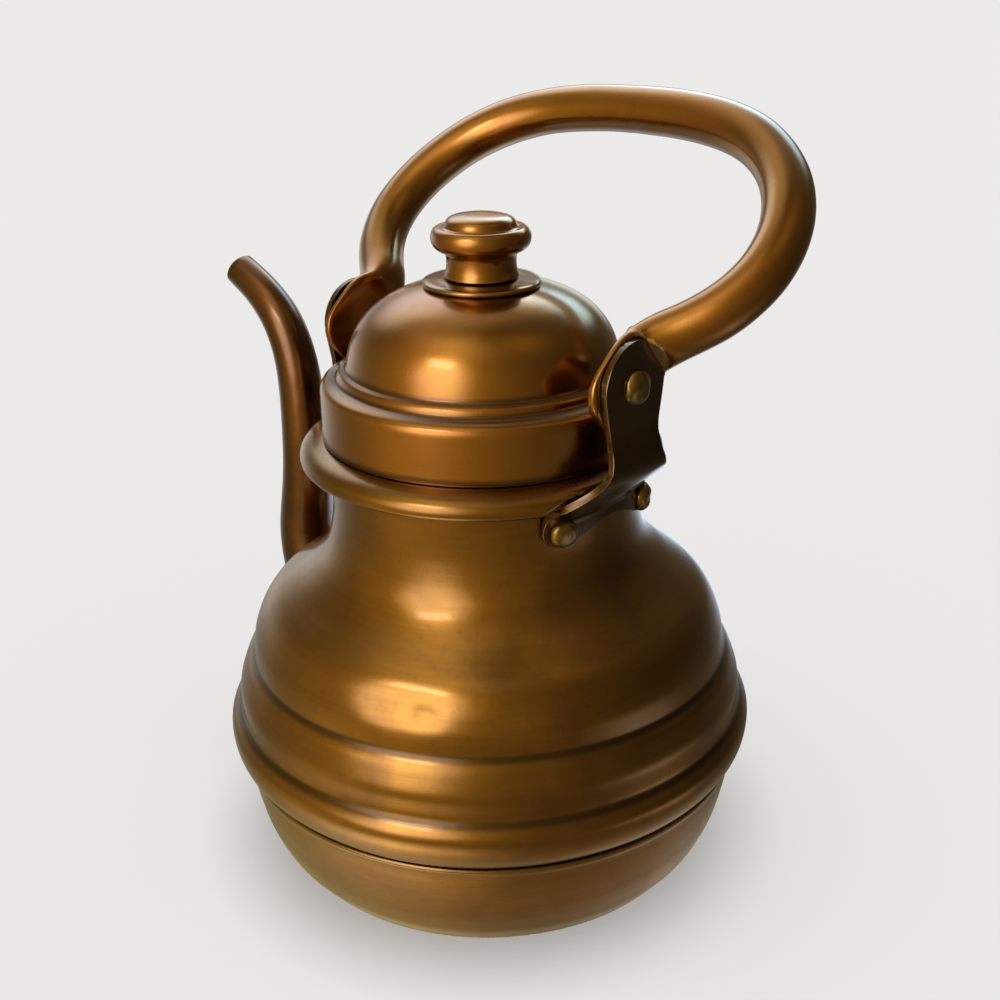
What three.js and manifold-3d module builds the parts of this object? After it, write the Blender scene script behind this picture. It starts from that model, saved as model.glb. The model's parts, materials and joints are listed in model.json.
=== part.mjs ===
import * as THREE from "three";
import { mergeVertices, toCreasedNormals } from "three/addons/utils/BufferGeometryUtils.js";
import Module from "manifold-3d";

// Copper tea kettle with a riveted bail handle and a lift-off lid.
// Millimetres, +Z up. The origin is the centre of the flat base on the table.
// The bail's pivots lie on the X axis direction: +X is the rear, the spout points to -X.

// Fits shared by all pieces
const seatGap = 0.3; // between two pieces that touch
const cutOverrun = 4; // how far a cutting tool runs past the wall it cuts

// Copper sheet
const sheet = 1.5; // pan, body, mouth ring and spout
const lidSheet = 1.3;
const strapSheet = 2.2; // bail brackets

// Bottom pan
const baseRadius = 81;
const baseCorner = 1.4;
const panHeight = 41.3; // up to the ledge that the body stands on
const panBeadOut = 0.9; // how far the ledge's edge stands out past the body's seam
const panBeadDrop = 1.7; // from the ledge down to the widest line of the bead
const panRimRise = 5.2; // upright rim that laps inside the body
const panFlareShares = [
  [0, 0],
  [0.19, 0.09],
  [0.37, 0.19],
  [0.64, 0.39],
  [0.83, 0.62],
  [0.935, 0.83],
]; // outward and upward, from the base corner to the bead

// Body: two rolled ridges, a belly and a cove up to the neck
const bodyRadius = 100; // crest of the lower ridge
const bodyHeight = 91.4; // from the seam to the foot of the neck
const neckRadius = 56.2;
const neckHeight = 45; // from its foot to the open mouth, inside the lid
const bodyOutlineShares = [
  [0.862, 0],
  [0.926, 0.02],
  [0.984, 0.061],
  [1, 0.119],
  [0.989, 0.173],
  [0.938, 0.228],
  [0.889, 0.276],
  [0.876, 0.328],
  [0.856, 0.374],
  [0.799, 0.414],
  [0.746, 0.452],
  [0.731, 0.497],
  [0.703, 0.551],
  [0.655, 0.606],
  [0.58, 0.655],
  [0.477, 0.696],
  [0.347, 0.742],
  [0.208, 0.796],
  [0.091, 0.864],
  [0.023, 0.934],
  [0, 1],
]; // from the neck's radius out to the body's radius, and from the seam up to the neck

// Mouth ring: a spun channel around the neck, on which the lid rests
const ringTopDrop = 14.5; // from the open mouth down to the ring's top
const ringReach = 10.4; // from its bore out to its lip
const ringDepth = 8.4; // from its top down to the edge of the lip
const ringSleeve = 6.6; // height of the sleeve that is soldered to the neck
const ringRoundShares = [
  [0.94, 1],
  [1, 0.83],
  [0.97, 0.57],
  [0.81, 0.31],
  [0.52, 0.12],
  [0.19, 0.02],
]; // outward share of the reach and downward share of the depth

// Lid
const lidFit = 0.9; // between the neck and the skirt
const skirtHeight = 16.8; // straight part of the skirt
const domeRadius = 48.3;
const domeFootRise = 26.2; // from the skirt's edge up to the foot of the dome
const domeHeight = 27.8;
const domeExponent = 2.25; // 2 is an ellipse, more is squarer
const shoulderShares = [
  [0, 0],
  [0.03, 0.22],
  [0.13, 0.41],
  [0.31, 0.52],
  [0.62, 0.67],
  [0.84, 0.8],
  [0.94, 0.87],
]; // inward and upward, from the top of the skirt to the foot of the dome

// Knob, its plate and the washer inside the lid
const plateRadius = 22.4;
const plateEdge = 1.1; // thickness at the plate's rim
const plateCrown = 1.2; // thickness under the knob
const knobHeight = 21;
const knobRimRadius = 17.1;
const knobNeckRadius = 12.1;
const knobFootRadius = 13.8;
const stemRadius = 2.6;
const stemHeadRadius = 4.2;
const stemHeadRise = 1.1;
const washerRadius = 7;
const washerThickness = 1.2;
const washerSag = 0.2; // room for the dome's curve above the washer
const knobFootShares = [
  [1, 0],
  [1, 0.05],
  [0.55, 0.1],
  [0.15, 0.17],
  [0, 0.26],
  [0, 0.37],
]; // of the step from the neck to the foot, and of the knob's height
const knobHeadShares = [
  [0.2, 0.49],
  [0.66, 0.575],
  [0.97, 0.65],
  [1, 0.71],
  [0.93, 0.8],
  [0.6, 0.862],
  [0.36, 0.855],
]; // of the step from the neck to the rim, and of the knob's height
const knobButtonShares = [
  [0.95, 0.895],
  [0.7, 0.96],
  [0.35, 0.99],
]; // of the neck's radius, and of the knob's height

// Spout: a swan neck whose foot is fitted to the body
const spoutRootDepth = 16; // how far its centre line starts inside the body's radius
const spoutRootHeight = 62.5;
const spoutReach = 55.5; // from the start of the centre line out to the mouth
const spoutRise = 139.9; // from the start of the centre line up to the mouth
const spoutRootRadius = 14;
const spoutMouthRadius = 6.9;
const spoutRings = 18;
const spoutBendShares = [
  [0, 0],
  [0.145, 0.018],
  [0.28, 0.048],
  [0.375, 0.093],
  [0.431, 0.157],
  [0.449, 0.232],
  [0.425, 0.311],
  [0.395, 0.397],
  [0.379, 0.49],
  [0.379, 0.597],
  [0.39, 0.683],
  [0.418, 0.758],
  [0.472, 0.822],
  [0.559, 0.879],
  [0.672, 0.923],
  [0.802, 0.959],
  [1, 1],
]; // share of the reach and share of the rise

// Bail brackets: a sheet strap whose wings are riveted round the neck
const wingHeight = 12;
const wingHalfLength = 29; // along the neck, to each side of the bracket's middle
const wingTopHalfLength = 26.7; // the same along the wing's upper edge
const wingBaseRise = 6.8; // from the foot of the neck up to the wing's lower edge
const wingArch = 6.5; // how much higher the lower edge is in the middle
const strapHalfWidth = 12.5;
const strapHeadRadius = 14;
const strapFoldDrop = 0.8; // from the wing's top down to the fold where the strap leaves the neck
const strapBendOut = 5.1; // from the ring's lip out to the strap's bend
const strapBendDrop = 1.8; // from the ring's top down to the strap's bend
const strapWaistRise = 15.2; // from the bend up to where the strap stands upright
const strapFoldRadiusShare = 1.6; // of the sheet: how far each fold is rounded
const strapFlareExponent = 1.5; // more keeps the strap wide further up
const strapSwellExponent = 3; // more keeps the swelling closer to the head
const strapRows = 15;
const strapColumns = 6;
const strapRowShare = 0.35; // how much the rows crowd towards both ends
const footRivetAngle = THREE.MathUtils.degToRad(20.8);
const footRivetRise = 5.1; // from the wing's lower edge

// Rivets
const footShankRadius = 2.2;
const footHeadRadius = 4.5;
const footHeadRise = 2.6;
const footTailRadius = 3.6;
const footTailRise = 1.1;
const pivotShankRadius = 2.6;
const pivotHeadRadius = 5.4;
const pivotHeadRise = 2.8;
const pivotTailRadius = 4.6;
const pivotTailRise = 1.4;
const domeShares = [
  [1, 0],
  [0.96, 0.34],
  [0.78, 0.7],
  [0.45, 0.93],
]; // of a rivet head's radius and rise

// Bail: one tube with its ends flattened into tabs
const pivotRise = 15; // from the open mouth up to the pivot axis
const lidSwing = 1.6; // between the lid's skirt and the rivet tails beside it
const tubeRadius = 8.9;
const tubeWall = 1.5;
const tabThickness = 3.4;
const tabHalfWidth = 14;
const tabExponent = 3.2; // of the tab's section: 2 is an ellipse, more is squarer
const tabEnd = 16.5; // from the pivot down to the tab's end
const tabStraight = 14.4; // from the pivot up to where the tube starts to bend out
const bailHalfWidth = 87.8; // to the tube's centre line
const bailWidest = 58; // height of the widest point above the pivot
const bailHeight = 116.8; // to the tube's centre line
const bailExponent = 2.27;
const bailTilt = THREE.MathUtils.degToRad(51); // as the bail stands at rest, towards +Y
const bailBendSteps = 10;
const bailArchSteps = 8;
const knuckleSlope = THREE.MathUtils.degToRad(46); // of the tube against the tab, where it leaves it
const knuckleReach = 19; // how far the tube keeps that slope
const sideReach = 20; // how far the tube's side runs straight down from its widest point
const tabEndShares = [
  [1, 0.42],
  [0.93, 0.7],
  [0.76, 0.91],
  [0.5, 0.99],
  [0.1, 1],
]; // share of the tab's end below the pivot, and of its half width
const tabSpreadShares = [
  [0, 1],
  [0.07, 0.7],
  [0.16, 0.46],
  [0.3, 0.24],
  [0.5, 0.06],
  [0.62, 0],
]; // along the bend: how much of the flattening is left

// Facets
const turnedSegments = 36;
const smallSegments = 20;
const rivetSegments = 12;
const tubeSides = 12;
const spoutSides = 16;
const bodySteps = 24;
const domeSteps = 8;
const sliverTolerance = 0.01; // slivers left by cuts are merged up to this size
const creaseAngle = THREE.MathUtils.degToRad(38);
const roundExponent = 2; // of a round section

// Heights and radii that follow from the sizes above
const seamHeight = panHeight + seatGap;
const seamRadius = THREE.MathUtils.lerp(neckRadius, bodyRadius, bodyOutlineShares[0][0]);
const panBeadRadius = seamRadius + panBeadOut;
const neckFoot = seamHeight + bodyHeight;
const mouthHeight = neckFoot + neckHeight;
const ringTop = mouthHeight - ringTopDrop;
const ringBore = neckRadius + seatGap;
const ringRadius = ringBore + ringReach;
const skirtBore = neckRadius + lidFit;
const skirtRadius = skirtBore + lidSheet;
const skirtEdge = ringTop + seatGap;
const domeFoot = skirtEdge + domeFootRise;
const lidTop = domeFoot + domeHeight;
const plateTop = lidTop + seatGap + plateCrown;
const knobFoot = plateTop + seatGap;
const spoutStart = bodyRadius - spoutRootDepth;
const wingBase = neckFoot + wingBaseRise;
const wingInside = neckRadius + 2 * seatGap;
const wingOutside = wingInside + strapSheet;
const pivotHeight = mouthHeight + pivotRise;
const tabInside = skirtRadius + lidSwing + pivotTailRise + seatGap;
const tabMiddle = tabInside + tabThickness / 2;
const strapInside = tabInside + tabThickness + seatGap;
const strapOutside = strapInside + strapSheet;
const bendReach = ringRadius + strapBendOut;
const bendHeight = ringTop - strapBendDrop;
const waistHeight = bendHeight + strapWaistRise;
const strapTop = pivotHeight + strapHeadRadius;

const wasm = await Module();
wasm.setup();

// Takes a closed geometry as a solid that can be joined and cut.
function solidOf(geometry) {
  const bare = geometry.clone();
  bare.deleteAttribute("normal");
  bare.deleteAttribute("uv");
  const merged = mergeVertices(bare);
  const corners = merged.index.array;
  const kept = [];
  for (let i = 0; i < corners.length; i += 3) {
    const [a, b, c] = corners.slice(i, i + 3);
    if (a !== b && b !== c && c !== a) kept.push(a, b, c);
  }
  const vertProperties = merged.attributes.position.array;
  const triVerts = new Uint32Array(kept);
  return new wasm.Manifold(new wasm.Mesh({ numProp: 3, vertProperties, triVerts }));
}

// Turns a solid back into a geometry with soft faces and sharp creases.
function geometryOf(solid) {
  const mesh = solid.simplify(sliverTolerance).getMesh();
  const geometry = new THREE.BufferGeometry();
  const places = new THREE.BufferAttribute(Float32Array.from(mesh.vertProperties), 3);
  geometry.setAttribute("position", places);
  geometry.setIndex(new THREE.BufferAttribute(Uint32Array.from(mesh.triVerts), 1));
  return toCreasedNormals(geometry, creaseAngle);
}

// Revolves an outline of [radius, height] points: up the outside, then down the inside.
function turned(outline, segments) {
  const points = outline.map(([radius, height]) => new THREE.Vector2(radius, height));
  const lathe = new THREE.LatheGeometry(points, segments);
  lathe.rotateX(Math.PI / 2);
  return solidOf(lathe);
}

// Closes an outline on itself.
function closed(outline) {
  return [...outline, outline[0]];
}

// Moves an open outline to its left by a distance, point by point along its normals.
function offset(outline, distance) {
  return outline.map(([radius, height], i) => {
    const before = outline[Math.max(i - 1, 0)];
    const after = outline[Math.min(i + 1, outline.length - 1)];
    const along = new THREE.Vector2(after[0] - before[0], after[1] - before[1]).normalize();
    return [radius - along.y * distance, height + along.x * distance];
  });
}

// Gives an open outline of the outer face the thickness of its sheet. The inner face takes
// every second point.
function sheetOutline(outline, thickness) {
  const inside = offset(outline, thickness);
  const last = inside.length - 1;
  const kept = inside.filter((point, i) => i === 0 || i === last || (last - i) % 2 === 0);
  return closed([...outline, ...kept.reverse()]);
}

// Draws a smooth line through points and takes even steps along it.
function smooth(points, steps) {
  const curve = new THREE.SplineCurve(points.map(([x, y]) => new THREE.Vector2(x, y)));
  return curve.getSpacedPoints(steps).map((point) => [point.x, point.y]);
}

// Reads a table of shares at a place between its first and last column values.
function readTable(table, place) {
  const last = table.length - 1;
  const next = table.findIndex(([at]) => at >= place);
  if (next === 0) return table[0][1];
  if (next < 0) return table[last][1];
  const [fromPlace, fromValue] = table[next - 1];
  const [toPlace, toValue] = table[next];
  const between = (place - fromPlace) / (toPlace - fromPlace);
  return THREE.MathUtils.lerp(fromValue, toValue, between);
}

// Skins rings of points. The skin either runs round to the first ring again or is
// closed by a strip across the first and the last ring.
function skinned(rings, runsRound) {
  const count = rings[0].length;
  const places = rings.flat().flatMap((point) => point.toArray());
  const triangles = [];
  const pairs = runsRound ? rings.length : rings.length - 1;
  for (let ring = 0; ring < pairs; ring += 1) {
    const here = ring * count;
    const there = ((ring + 1) % rings.length) * count;
    for (let i = 0; i < count; i += 1) {
      const next = (i + 1) % count;
      triangles.push(here + i, here + next, there + next);
      triangles.push(here + i, there + next, there + i);
    }
  }
  if (!runsRound) {
    const lastRing = (rings.length - 1) * count;
    for (let i = 0; i < count / 2 - 1; i += 1) {
      const far = count - 1 - i;
      triangles.push(i, far, far - 1, i, far - 1, i + 1);
      triangles.push(lastRing + i, lastRing + far - 1, lastRing + far);
      triangles.push(lastRing + i, lastRing + i + 1, lastRing + far - 1);
    }
  }
  const geometry = new THREE.BufferGeometry();
  geometry.setAttribute("position", new THREE.Float32BufferAttribute(places, 3));
  geometry.setIndex(triangles);
  return solidOf(geometry);
}

// A ring of points round a tube that runs in the XZ plane: a circle, an oval or a flat tab.
function tubeRing(centre, direction, acrossPlane, alongY, exponent, sides) {
  const side = new THREE.Vector3(direction.z, 0, -direction.x);
  const ring = [];
  for (let i = 0; i < sides; i += 1) {
    const angle = (2 * Math.PI * (i + 0.5)) / sides;
    const across = Math.sign(Math.cos(angle)) * Math.abs(Math.cos(angle)) ** (2 / exponent);
    const along = Math.sign(Math.sin(angle)) * Math.abs(Math.sin(angle)) ** (2 / exponent);
    const point = centre.clone().addScaledVector(side, across * acrossPlane);
    point.y += along * alongY;
    ring.push(point);
  }
  return ring;
}

// A round bar from one point to another, used as a drill.
function drill(from, to, radius) {
  const axis = to.clone().sub(from);
  const bar = new THREE.CylinderGeometry(radius, radius, axis.length(), rivetSegments);
  const turn = new THREE.Quaternion();
  turn.setFromUnitVectors(new THREE.Vector3(0, 1, 0), axis.clone().normalize());
  bar.applyQuaternion(turn);
  const middle = from.clone().lerp(to, 0.5);
  bar.translate(middle.x, middle.y, middle.z);
  return solidOf(bar);
}

// A point at a radius, an angle from +X and a height.
function around(radius, angle, height) {
  return new THREE.Vector3(radius * Math.cos(angle), radius * Math.sin(angle), height);
}

// Bottom pan: flat base, flared wall, beaded ledge and the rim that laps inside the body.
function makeBottomPan() {
  const flareFoot = baseCorner;
  const flareTop = panHeight - panBeadDrop;
  const wall = panFlareShares.map(([outward, upward]) => [
    THREE.MathUtils.lerp(baseRadius, panBeadRadius, outward),
    THREE.MathUtils.lerp(flareFoot, flareTop, upward),
  ]);
  const rimRadius = seamRadius - sheet - seatGap;
  const rimTop = panHeight + panRimRise;
  const outside = [...wall, [panBeadRadius, flareTop], [seamRadius, panHeight]];
  const inside = offset(wall, sheet).reverse();
  const rimInside = rimRadius - sheet;
  return turned(
    [
      [0, 0],
      [baseRadius - baseCorner, 0],
      ...outside,
      [rimRadius, panHeight],
      [rimRadius, rimTop],
      [rimInside, rimTop],
      [rimInside, panHeight - sheet],
      ...inside,
      [baseRadius - baseCorner - sheet, sheet],
      [0, sheet],
    ],
    turnedSegments,
  );
}

// The outer face of the body from the seam to the foot of the neck.
function bodyOutline() {
  const points = bodyOutlineShares.map(([outward, upward]) => [
    THREE.MathUtils.lerp(neckRadius, bodyRadius, outward),
    seamHeight + upward * bodyHeight,
  ]);
  return smooth(points, bodySteps);
}

// The body as if it were solid, a clearance larger: pieces that sit on it are cut with it.
function bodyEnvelope(clearance) {
  const outline = offset(bodyOutline(), -clearance);
  const bottom = outline[0][1];
  const top = outline[outline.length - 1][1];
  return turned([[0, bottom], ...outline, [0, top]], turnedSegments);
}

// Body shell with its neck, the rivet holes and the hole behind the spout.
function makeBodyShell(spoutBore) {
  const outside = [...bodyOutline(), [neckRadius, mouthHeight]];
  let shell = turned(sheetOutline(outside, sheet), turnedSegments);
  for (const turn of [0, Math.PI]) {
    for (const side of [-1, 1]) {
      shell = shell.subtract(footRivetDrill(turn + side * footRivetAngle));
    }
  }
  return shell.subtract(spoutBore);
}

// The hole of one foot rivet, through the wing and the neck.
function footRivetDrill(angle) {
  const height = wingBase + footRivetRise;
  const inner = around(neckRadius - sheet - cutOverrun, angle, height);
  const outer = around(wingOutside + cutOverrun, angle, height);
  return drill(inner, outer, footShankRadius + seatGap);
}

// Mouth ring: rounded top, turned-down lip and a sleeve round the neck, with a relief
// behind each bracket.
function makeMouthRing() {
  const top = ringRoundShares.map(([outward, downward]) => [
    ringBore + outward * ringReach,
    ringTop - downward * ringDepth,
  ]);
  const inside = offset(top, sheet).reverse();
  const sleeveFoot = ringTop - ringSleeve;
  const outline = [
    ...top,
    [ringBore, ringTop],
    [ringBore, sleeveFoot],
    [ringBore + sheet, sleeveFoot],
    [ringBore + sheet, ringTop - sheet],
    ...inside,
  ];
  const ring = turned(closed(outline), turnedSegments);
  const strap = strapBody(2 * seatGap);
  const relief = strap.add(strap.translate([0, 0, -strapSheet]));
  return ring.subtract(relief).subtract(relief.rotate([0, 0, 180]));
}

// Height of the lid's dome above the base at a radius.
function domeHeightAt(radius) {
  const inward = 1 - (radius / domeRadius) ** domeExponent;
  return domeFoot + domeHeight * inward ** (1 / domeExponent);
}

// The dome's outer face from its foot up to a hole round the axis.
function domeOutline(holeRadius) {
  const points = [];
  const last = Math.acos(holeRadius / domeRadius);
  for (let i = 1; i <= domeSteps; i += 1) {
    const radius = domeRadius * Math.cos((last * i) / domeSteps);
    points.push([radius, domeHeightAt(radius)]);
  }
  return points;
}

// Lid shell: skirt, rounded shoulder, groove and dome, spun from one sheet.
function makeLidShell() {
  const skirtTop = skirtEdge + skirtHeight;
  const shoulder = shoulderShares.map(([inward, upward]) => [
    THREE.MathUtils.lerp(skirtRadius, domeRadius, inward),
    THREE.MathUtils.lerp(skirtTop, domeFoot, upward),
  ]);
  const foot = [[domeRadius, domeFoot]];
  const outside = [[skirtRadius, skirtEdge], ...shoulder, ...foot, ...domeOutline(stemRadius + seatGap)];
  return turned(sheetOutline(outside, lidSheet), turnedSegments);
}

// Domed plate under the knob. Its lower face follows the dome.
function makeKnobPlate() {
  const hole = stemRadius + seatGap;
  const below = [hole, knobFootRadius, plateRadius].map((radius) => [
    radius,
    domeHeightAt(radius) + seatGap,
  ]);
  const rimTop = below[2][1] + plateEdge;
  const outline = [...below, [plateRadius, rimTop], [knobFootRadius, plateTop], [hole, plateTop]];
  return turned(closed(outline), turnedSegments);
}

// Knob with a coved neck, a rolled rim, a button on top and the riveted stem.
function makeKnob() {
  const foot = knobFootShares.map(([outward, upward]) => [
    THREE.MathUtils.lerp(knobNeckRadius, knobFootRadius, outward),
    knobFoot + upward * knobHeight,
  ]);
  const head = knobHeadShares.map(([outward, upward]) => [
    THREE.MathUtils.lerp(knobNeckRadius, knobRimRadius, outward),
    knobFoot + upward * knobHeight,
  ]);
  const button = knobButtonShares.map(([outward, upward]) => [
    outward * knobNeckRadius,
    knobFoot + upward * knobHeight,
  ]);
  const headTop = washerFoot() - seatGap;
  return turned(
    [
      [0, headTop - stemHeadRise],
      [stemHeadRadius, headTop - stemHeadRise / 2],
      [stemHeadRadius, headTop],
      [stemRadius, headTop],
      [stemRadius, knobFoot],
      ...foot,
      ...head,
      ...button,
      [0, knobFoot + knobHeight],
    ],
    smallSegments,
  );
}

// The underside of the washer inside the lid.
function washerFoot() {
  return lidTop - lidSheet - seatGap - washerSag - washerThickness;
}

// Washer that the stem is riveted over, inside the lid.
function makeKnobWasher() {
  const hole = stemRadius + seatGap;
  const foot = washerFoot();
  const top = foot + washerThickness;
  const outline = [
    [hole, foot],
    [washerRadius, foot],
    [washerRadius, top],
    [hole, top],
  ];
  return turned(closed(outline), smallSegments);
}

// The spout's centre line, from inside the body to the mouth.
function spoutCurve() {
  const points = spoutBendShares.map(
    ([outward, upward]) =>
      new THREE.Vector3(
        -spoutStart - outward * spoutReach,
        0,
        spoutRootHeight + upward * spoutRise,
      ),
  );
  return new THREE.CatmullRomCurve3(points);
}

// Rings round the spout's centre line, a distance inside its outer face.
function spoutRingsInside(depth) {
  const curve = spoutCurve();
  const rings = [];
  for (let i = 0; i <= spoutRings; i += 1) {
    const along = i / spoutRings;
    const radius = THREE.MathUtils.lerp(spoutRootRadius, spoutMouthRadius, along) - depth;
    const centre = curve.getPointAt(along);
    const direction = curve.getTangentAt(along);
    rings.push(tubeRing(centre, direction, radius, radius, roundExponent, spoutSides));
  }
  return rings;
}

// Spout: a tapering hollow swan neck, its foot cut to the curve of the body.
function makeSpout() {
  const outer = spoutRingsInside(0);
  const inner = spoutRingsInside(sheet).reverse();
  return skinned([...outer, ...inner], true).subtract(bodyEnvelope(seatGap));
}

// The channel inside the spout as a solid. It cuts the hole in the body.
function spoutBore() {
  const rings = spoutRingsInside(sheet);
  return skinned(rings.slice(0, Math.round(rings.length / 2)), false);
}

// The outer face of the strap in its middle, from the wing's lower edge to the top.
function strapPath() {
  const slopeFoot = wingBase + wingHeight - strapFoldDrop;
  const points = [
    [wingOutside, wingBase],
    [wingOutside, slopeFoot],
    [bendReach, bendHeight],
    [strapOutside, waistHeight],
    [strapOutside, strapTop],
  ];
  const path = new THREE.CurvePath();
  const corner = (from, at, to, reach) => {
    const a = new THREE.Vector3(at[0], 0, at[1]);
    const toward = (point) => new THREE.Vector3(point[0], 0, point[1]).sub(a).normalize();
    const start = a.clone().addScaledVector(toward(from), reach);
    const end = a.clone().addScaledVector(toward(to), reach);
    return new THREE.QuadraticBezierCurve3(start, a, end);
  };
  const rounding = strapFoldRadiusShare * strapSheet;
  let last = new THREE.Vector3(points[0][0], 0, points[0][1]);
  for (let i = 1; i < points.length - 1; i += 1) {
    const bend = corner(points[i - 1], points[i], points[i + 1], rounding);
    path.add(new THREE.LineCurve3(last, bend.v0));
    path.add(bend);
    last = bend.v2;
  }
  path.add(new THREE.LineCurve3(last, new THREE.Vector3(strapOutside, 0, strapTop)));
  return path;
}

// Half the strap's width at a height.
function strapHalfWidthAt(height) {
  const wingMiddle = wingBase + wingHeight / 2;
  const wingTop = wingBase + wingHeight;
  const fromMiddle = (height - wingMiddle) / (wingHeight / 2);
  if (height <= wingMiddle) {
    const round = Math.sqrt(1 - Math.min(fromMiddle ** 2, 1));
    return wingHalfLength - (wingHeight / 2) * (1 - round);
  }
  if (height <= wingTop) {
    return THREE.MathUtils.lerp(wingHalfLength, wingTopHalfLength, fromMiddle ** 2);
  }
  if (height <= ringTop) {
    const narrowing = ((height - wingTop) / (ringTop - wingTop)) ** strapFlareExponent;
    return THREE.MathUtils.lerp(wingTopHalfLength, strapHalfWidth, narrowing);
  }
  const up = height - pivotHeight;
  const headEdge = Math.sqrt(Math.max(strapHeadRadius ** 2 - up ** 2, 0));
  return up > 0 ? headEdge : Math.max(headEdge, strapWaistWidthAt(height));
}

// The strap's half width between the ring's top and the pivot: it swells gently to the head.
function strapWaistWidthAt(height) {
  const rise = (height - ringTop) / (pivotHeight - ringTop);
  return THREE.MathUtils.lerp(strapHalfWidth, strapHeadRadius, rise ** strapSwellExponent);
}

// The sheet of one bracket at +X, bent to shape, a clearance larger all round.
function strapBody(clearance) {
  const path = strapPath();
  const rows = [];
  for (let row = 0; row <= strapRows; row += 1) {
    const along = 0.5 - 0.5 * Math.cos((Math.PI * row) / strapRows);
    const share = THREE.MathUtils.lerp(row / strapRows, along, strapRowShare);
    const middle = path.getPointAt(share);
    const tangent = path.getTangentAt(share);
    const normal = new THREE.Vector3(tangent.z, 0, -tangent.x);
    const half = Math.max(strapHalfWidthAt(middle.z), strapSheet) + clearance;
    const curlEnd = wingOutside + strapSheet;
    const bending = THREE.MathUtils.clamp((bendReach - middle.x) / (bendReach - curlEnd), 0, 1);
    const curl = middle.z < bendHeight ? bending / wingOutside : 0;
    const lift = Math.max(1 - (middle.z - wingBase) / wingHeight, 0) * wingArch;
    const outer = [];
    const inner = [];
    for (let column = 0; column <= strapColumns; column += 1) {
      const aside = ((2 * column) / strapColumns - 1) * half;
      const turn = curl * aside;
      const sideways = curl > 0 ? Math.sin(turn) / curl : aside;
      const inward = curl > 0 ? (1 - Math.cos(turn)) / curl : 0;
      const arch = lift * (1 - (aside / half) ** 2) ** 2;
      const point = new THREE.Vector3(middle.x - inward, sideways, middle.z + arch);
      const facing = normal.clone().applyAxisAngle(new THREE.Vector3(0, 0, 1), turn);
      outer.push(point.clone().addScaledVector(facing, clearance));
      inner.unshift(point.clone().addScaledVector(facing, -strapSheet - clearance));
    }
    rows.push([...outer, ...inner]);
  }
  return skinned(rows, false);
}

// Bracket with its two foot holes and the pivot hole.
function makeBracket() {
  let bracket = strapBody(0);
  for (const side of [-1, 1]) {
    bracket = bracket.subtract(footRivetDrill(side * footRivetAngle));
  }
  const inner = new THREE.Vector3(strapInside - cutOverrun, 0, pivotHeight);
  const outer = new THREE.Vector3(strapOutside + cutOverrun, 0, pivotHeight);
  return bracket.subtract(drill(inner, outer, pivotShankRadius + seatGap));
}

// A rivet along +Z: peened tail below the origin's plane, shank, hammered head on top.
function makeRivet(grip, shank, headRadius, headRise, tailRadius, tailRise) {
  const head = domeShares.map(([outward, upward]) => [headRadius * outward, grip + headRise * upward]);
  const tail = domeShares.map(([outward, upward]) => [tailRadius * outward, -tailRise * upward]);
  return turned(
    [[0, -tailRise], ...tail.reverse(), [shank, 0], [shank, grip], ...head, [0, grip + headRise]],
    rivetSegments,
  );
}

// The centre line of the bail in its own plane: [x, height above the pivot, flattening].
function bailPath() {
  const half = [];
  for (const [down, width] of tabEndShares) {
    half.push({ x: tabMiddle, up: -down * tabEnd, flat: 1, width });
  }
  const start = new THREE.Vector2(tabMiddle, tabStraight);
  const end = new THREE.Vector2(bailHalfWidth, bailWidest);
  const slope = new THREE.Vector2(Math.sin(knuckleSlope), Math.cos(knuckleSlope));
  const pullUp = start.clone().addScaledVector(slope, knuckleReach);
  const pullDown = new THREE.Vector2(bailHalfWidth, bailWidest - sideReach);
  const bend = new THREE.CubicBezierCurve(start, pullUp, pullDown, end);
  for (let i = 0; i < bailBendSteps; i += 1) {
    const along = i / bailBendSteps;
    const point = bend.getPointAt(along);
    half.push({ x: point.x, up: point.y, flat: readTable(tabSpreadShares, along), width: 1 });
  }
  const archRise = bailHeight - bailWidest;
  for (let i = 0; i < bailArchSteps; i += 1) {
    const angle = (Math.PI / 2) * (i / bailArchSteps);
    const outward = Math.cos(angle) ** (2 / bailExponent);
    const upward = Math.sin(angle) ** (2 / bailExponent);
    half.push({ x: bailHalfWidth * outward, up: bailWidest + archRise * upward, flat: 0, width: 1 });
  }
  const mirrored = half.map((place) => ({ ...place, x: -place.x })).reverse();
  return [...half, { x: 0, up: bailHeight, flat: 0, width: 1 }, ...mirrored];
}

// Rings round the bail's centre line, a distance inside its outer face.
function bailRings(depth) {
  const path = bailPath();
  return path.map((place, i) => {
    const before = path[Math.max(i - 1, 0)];
    const after = path[Math.min(i + 1, path.length - 1)];
    const direction = new THREE.Vector3(after.x - before.x, 0, after.up - before.up).normalize();
    const centre = new THREE.Vector3(place.x, 0, place.up);
    const thin = THREE.MathUtils.lerp(tubeRadius, tabThickness / 2, place.flat) - depth;
    const wide = THREE.MathUtils.lerp(tubeRadius, tabHalfWidth * place.width, place.flat) - depth;
    const exponent = THREE.MathUtils.lerp(roundExponent, tabExponent, place.flat);
    return tubeRing(centre, direction, thin, wide, exponent, tubeSides);
  });
}

// Bail: the hollow tube with its flattened tabs drilled for the pivots.
function makeBail() {
  let bail = skinned([...bailRings(0), ...bailRings(tubeWall).reverse()], true);
  for (const side of [-1, 1]) {
    const inner = new THREE.Vector3(side * (tabInside - cutOverrun), 0, 0);
    const outer = new THREE.Vector3(side * (tabInside + tabThickness + cutOverrun), 0, 0);
    bail = bail.subtract(drill(inner, outer, pivotShankRadius + seatGap));
  }
  return bail;
}

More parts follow.
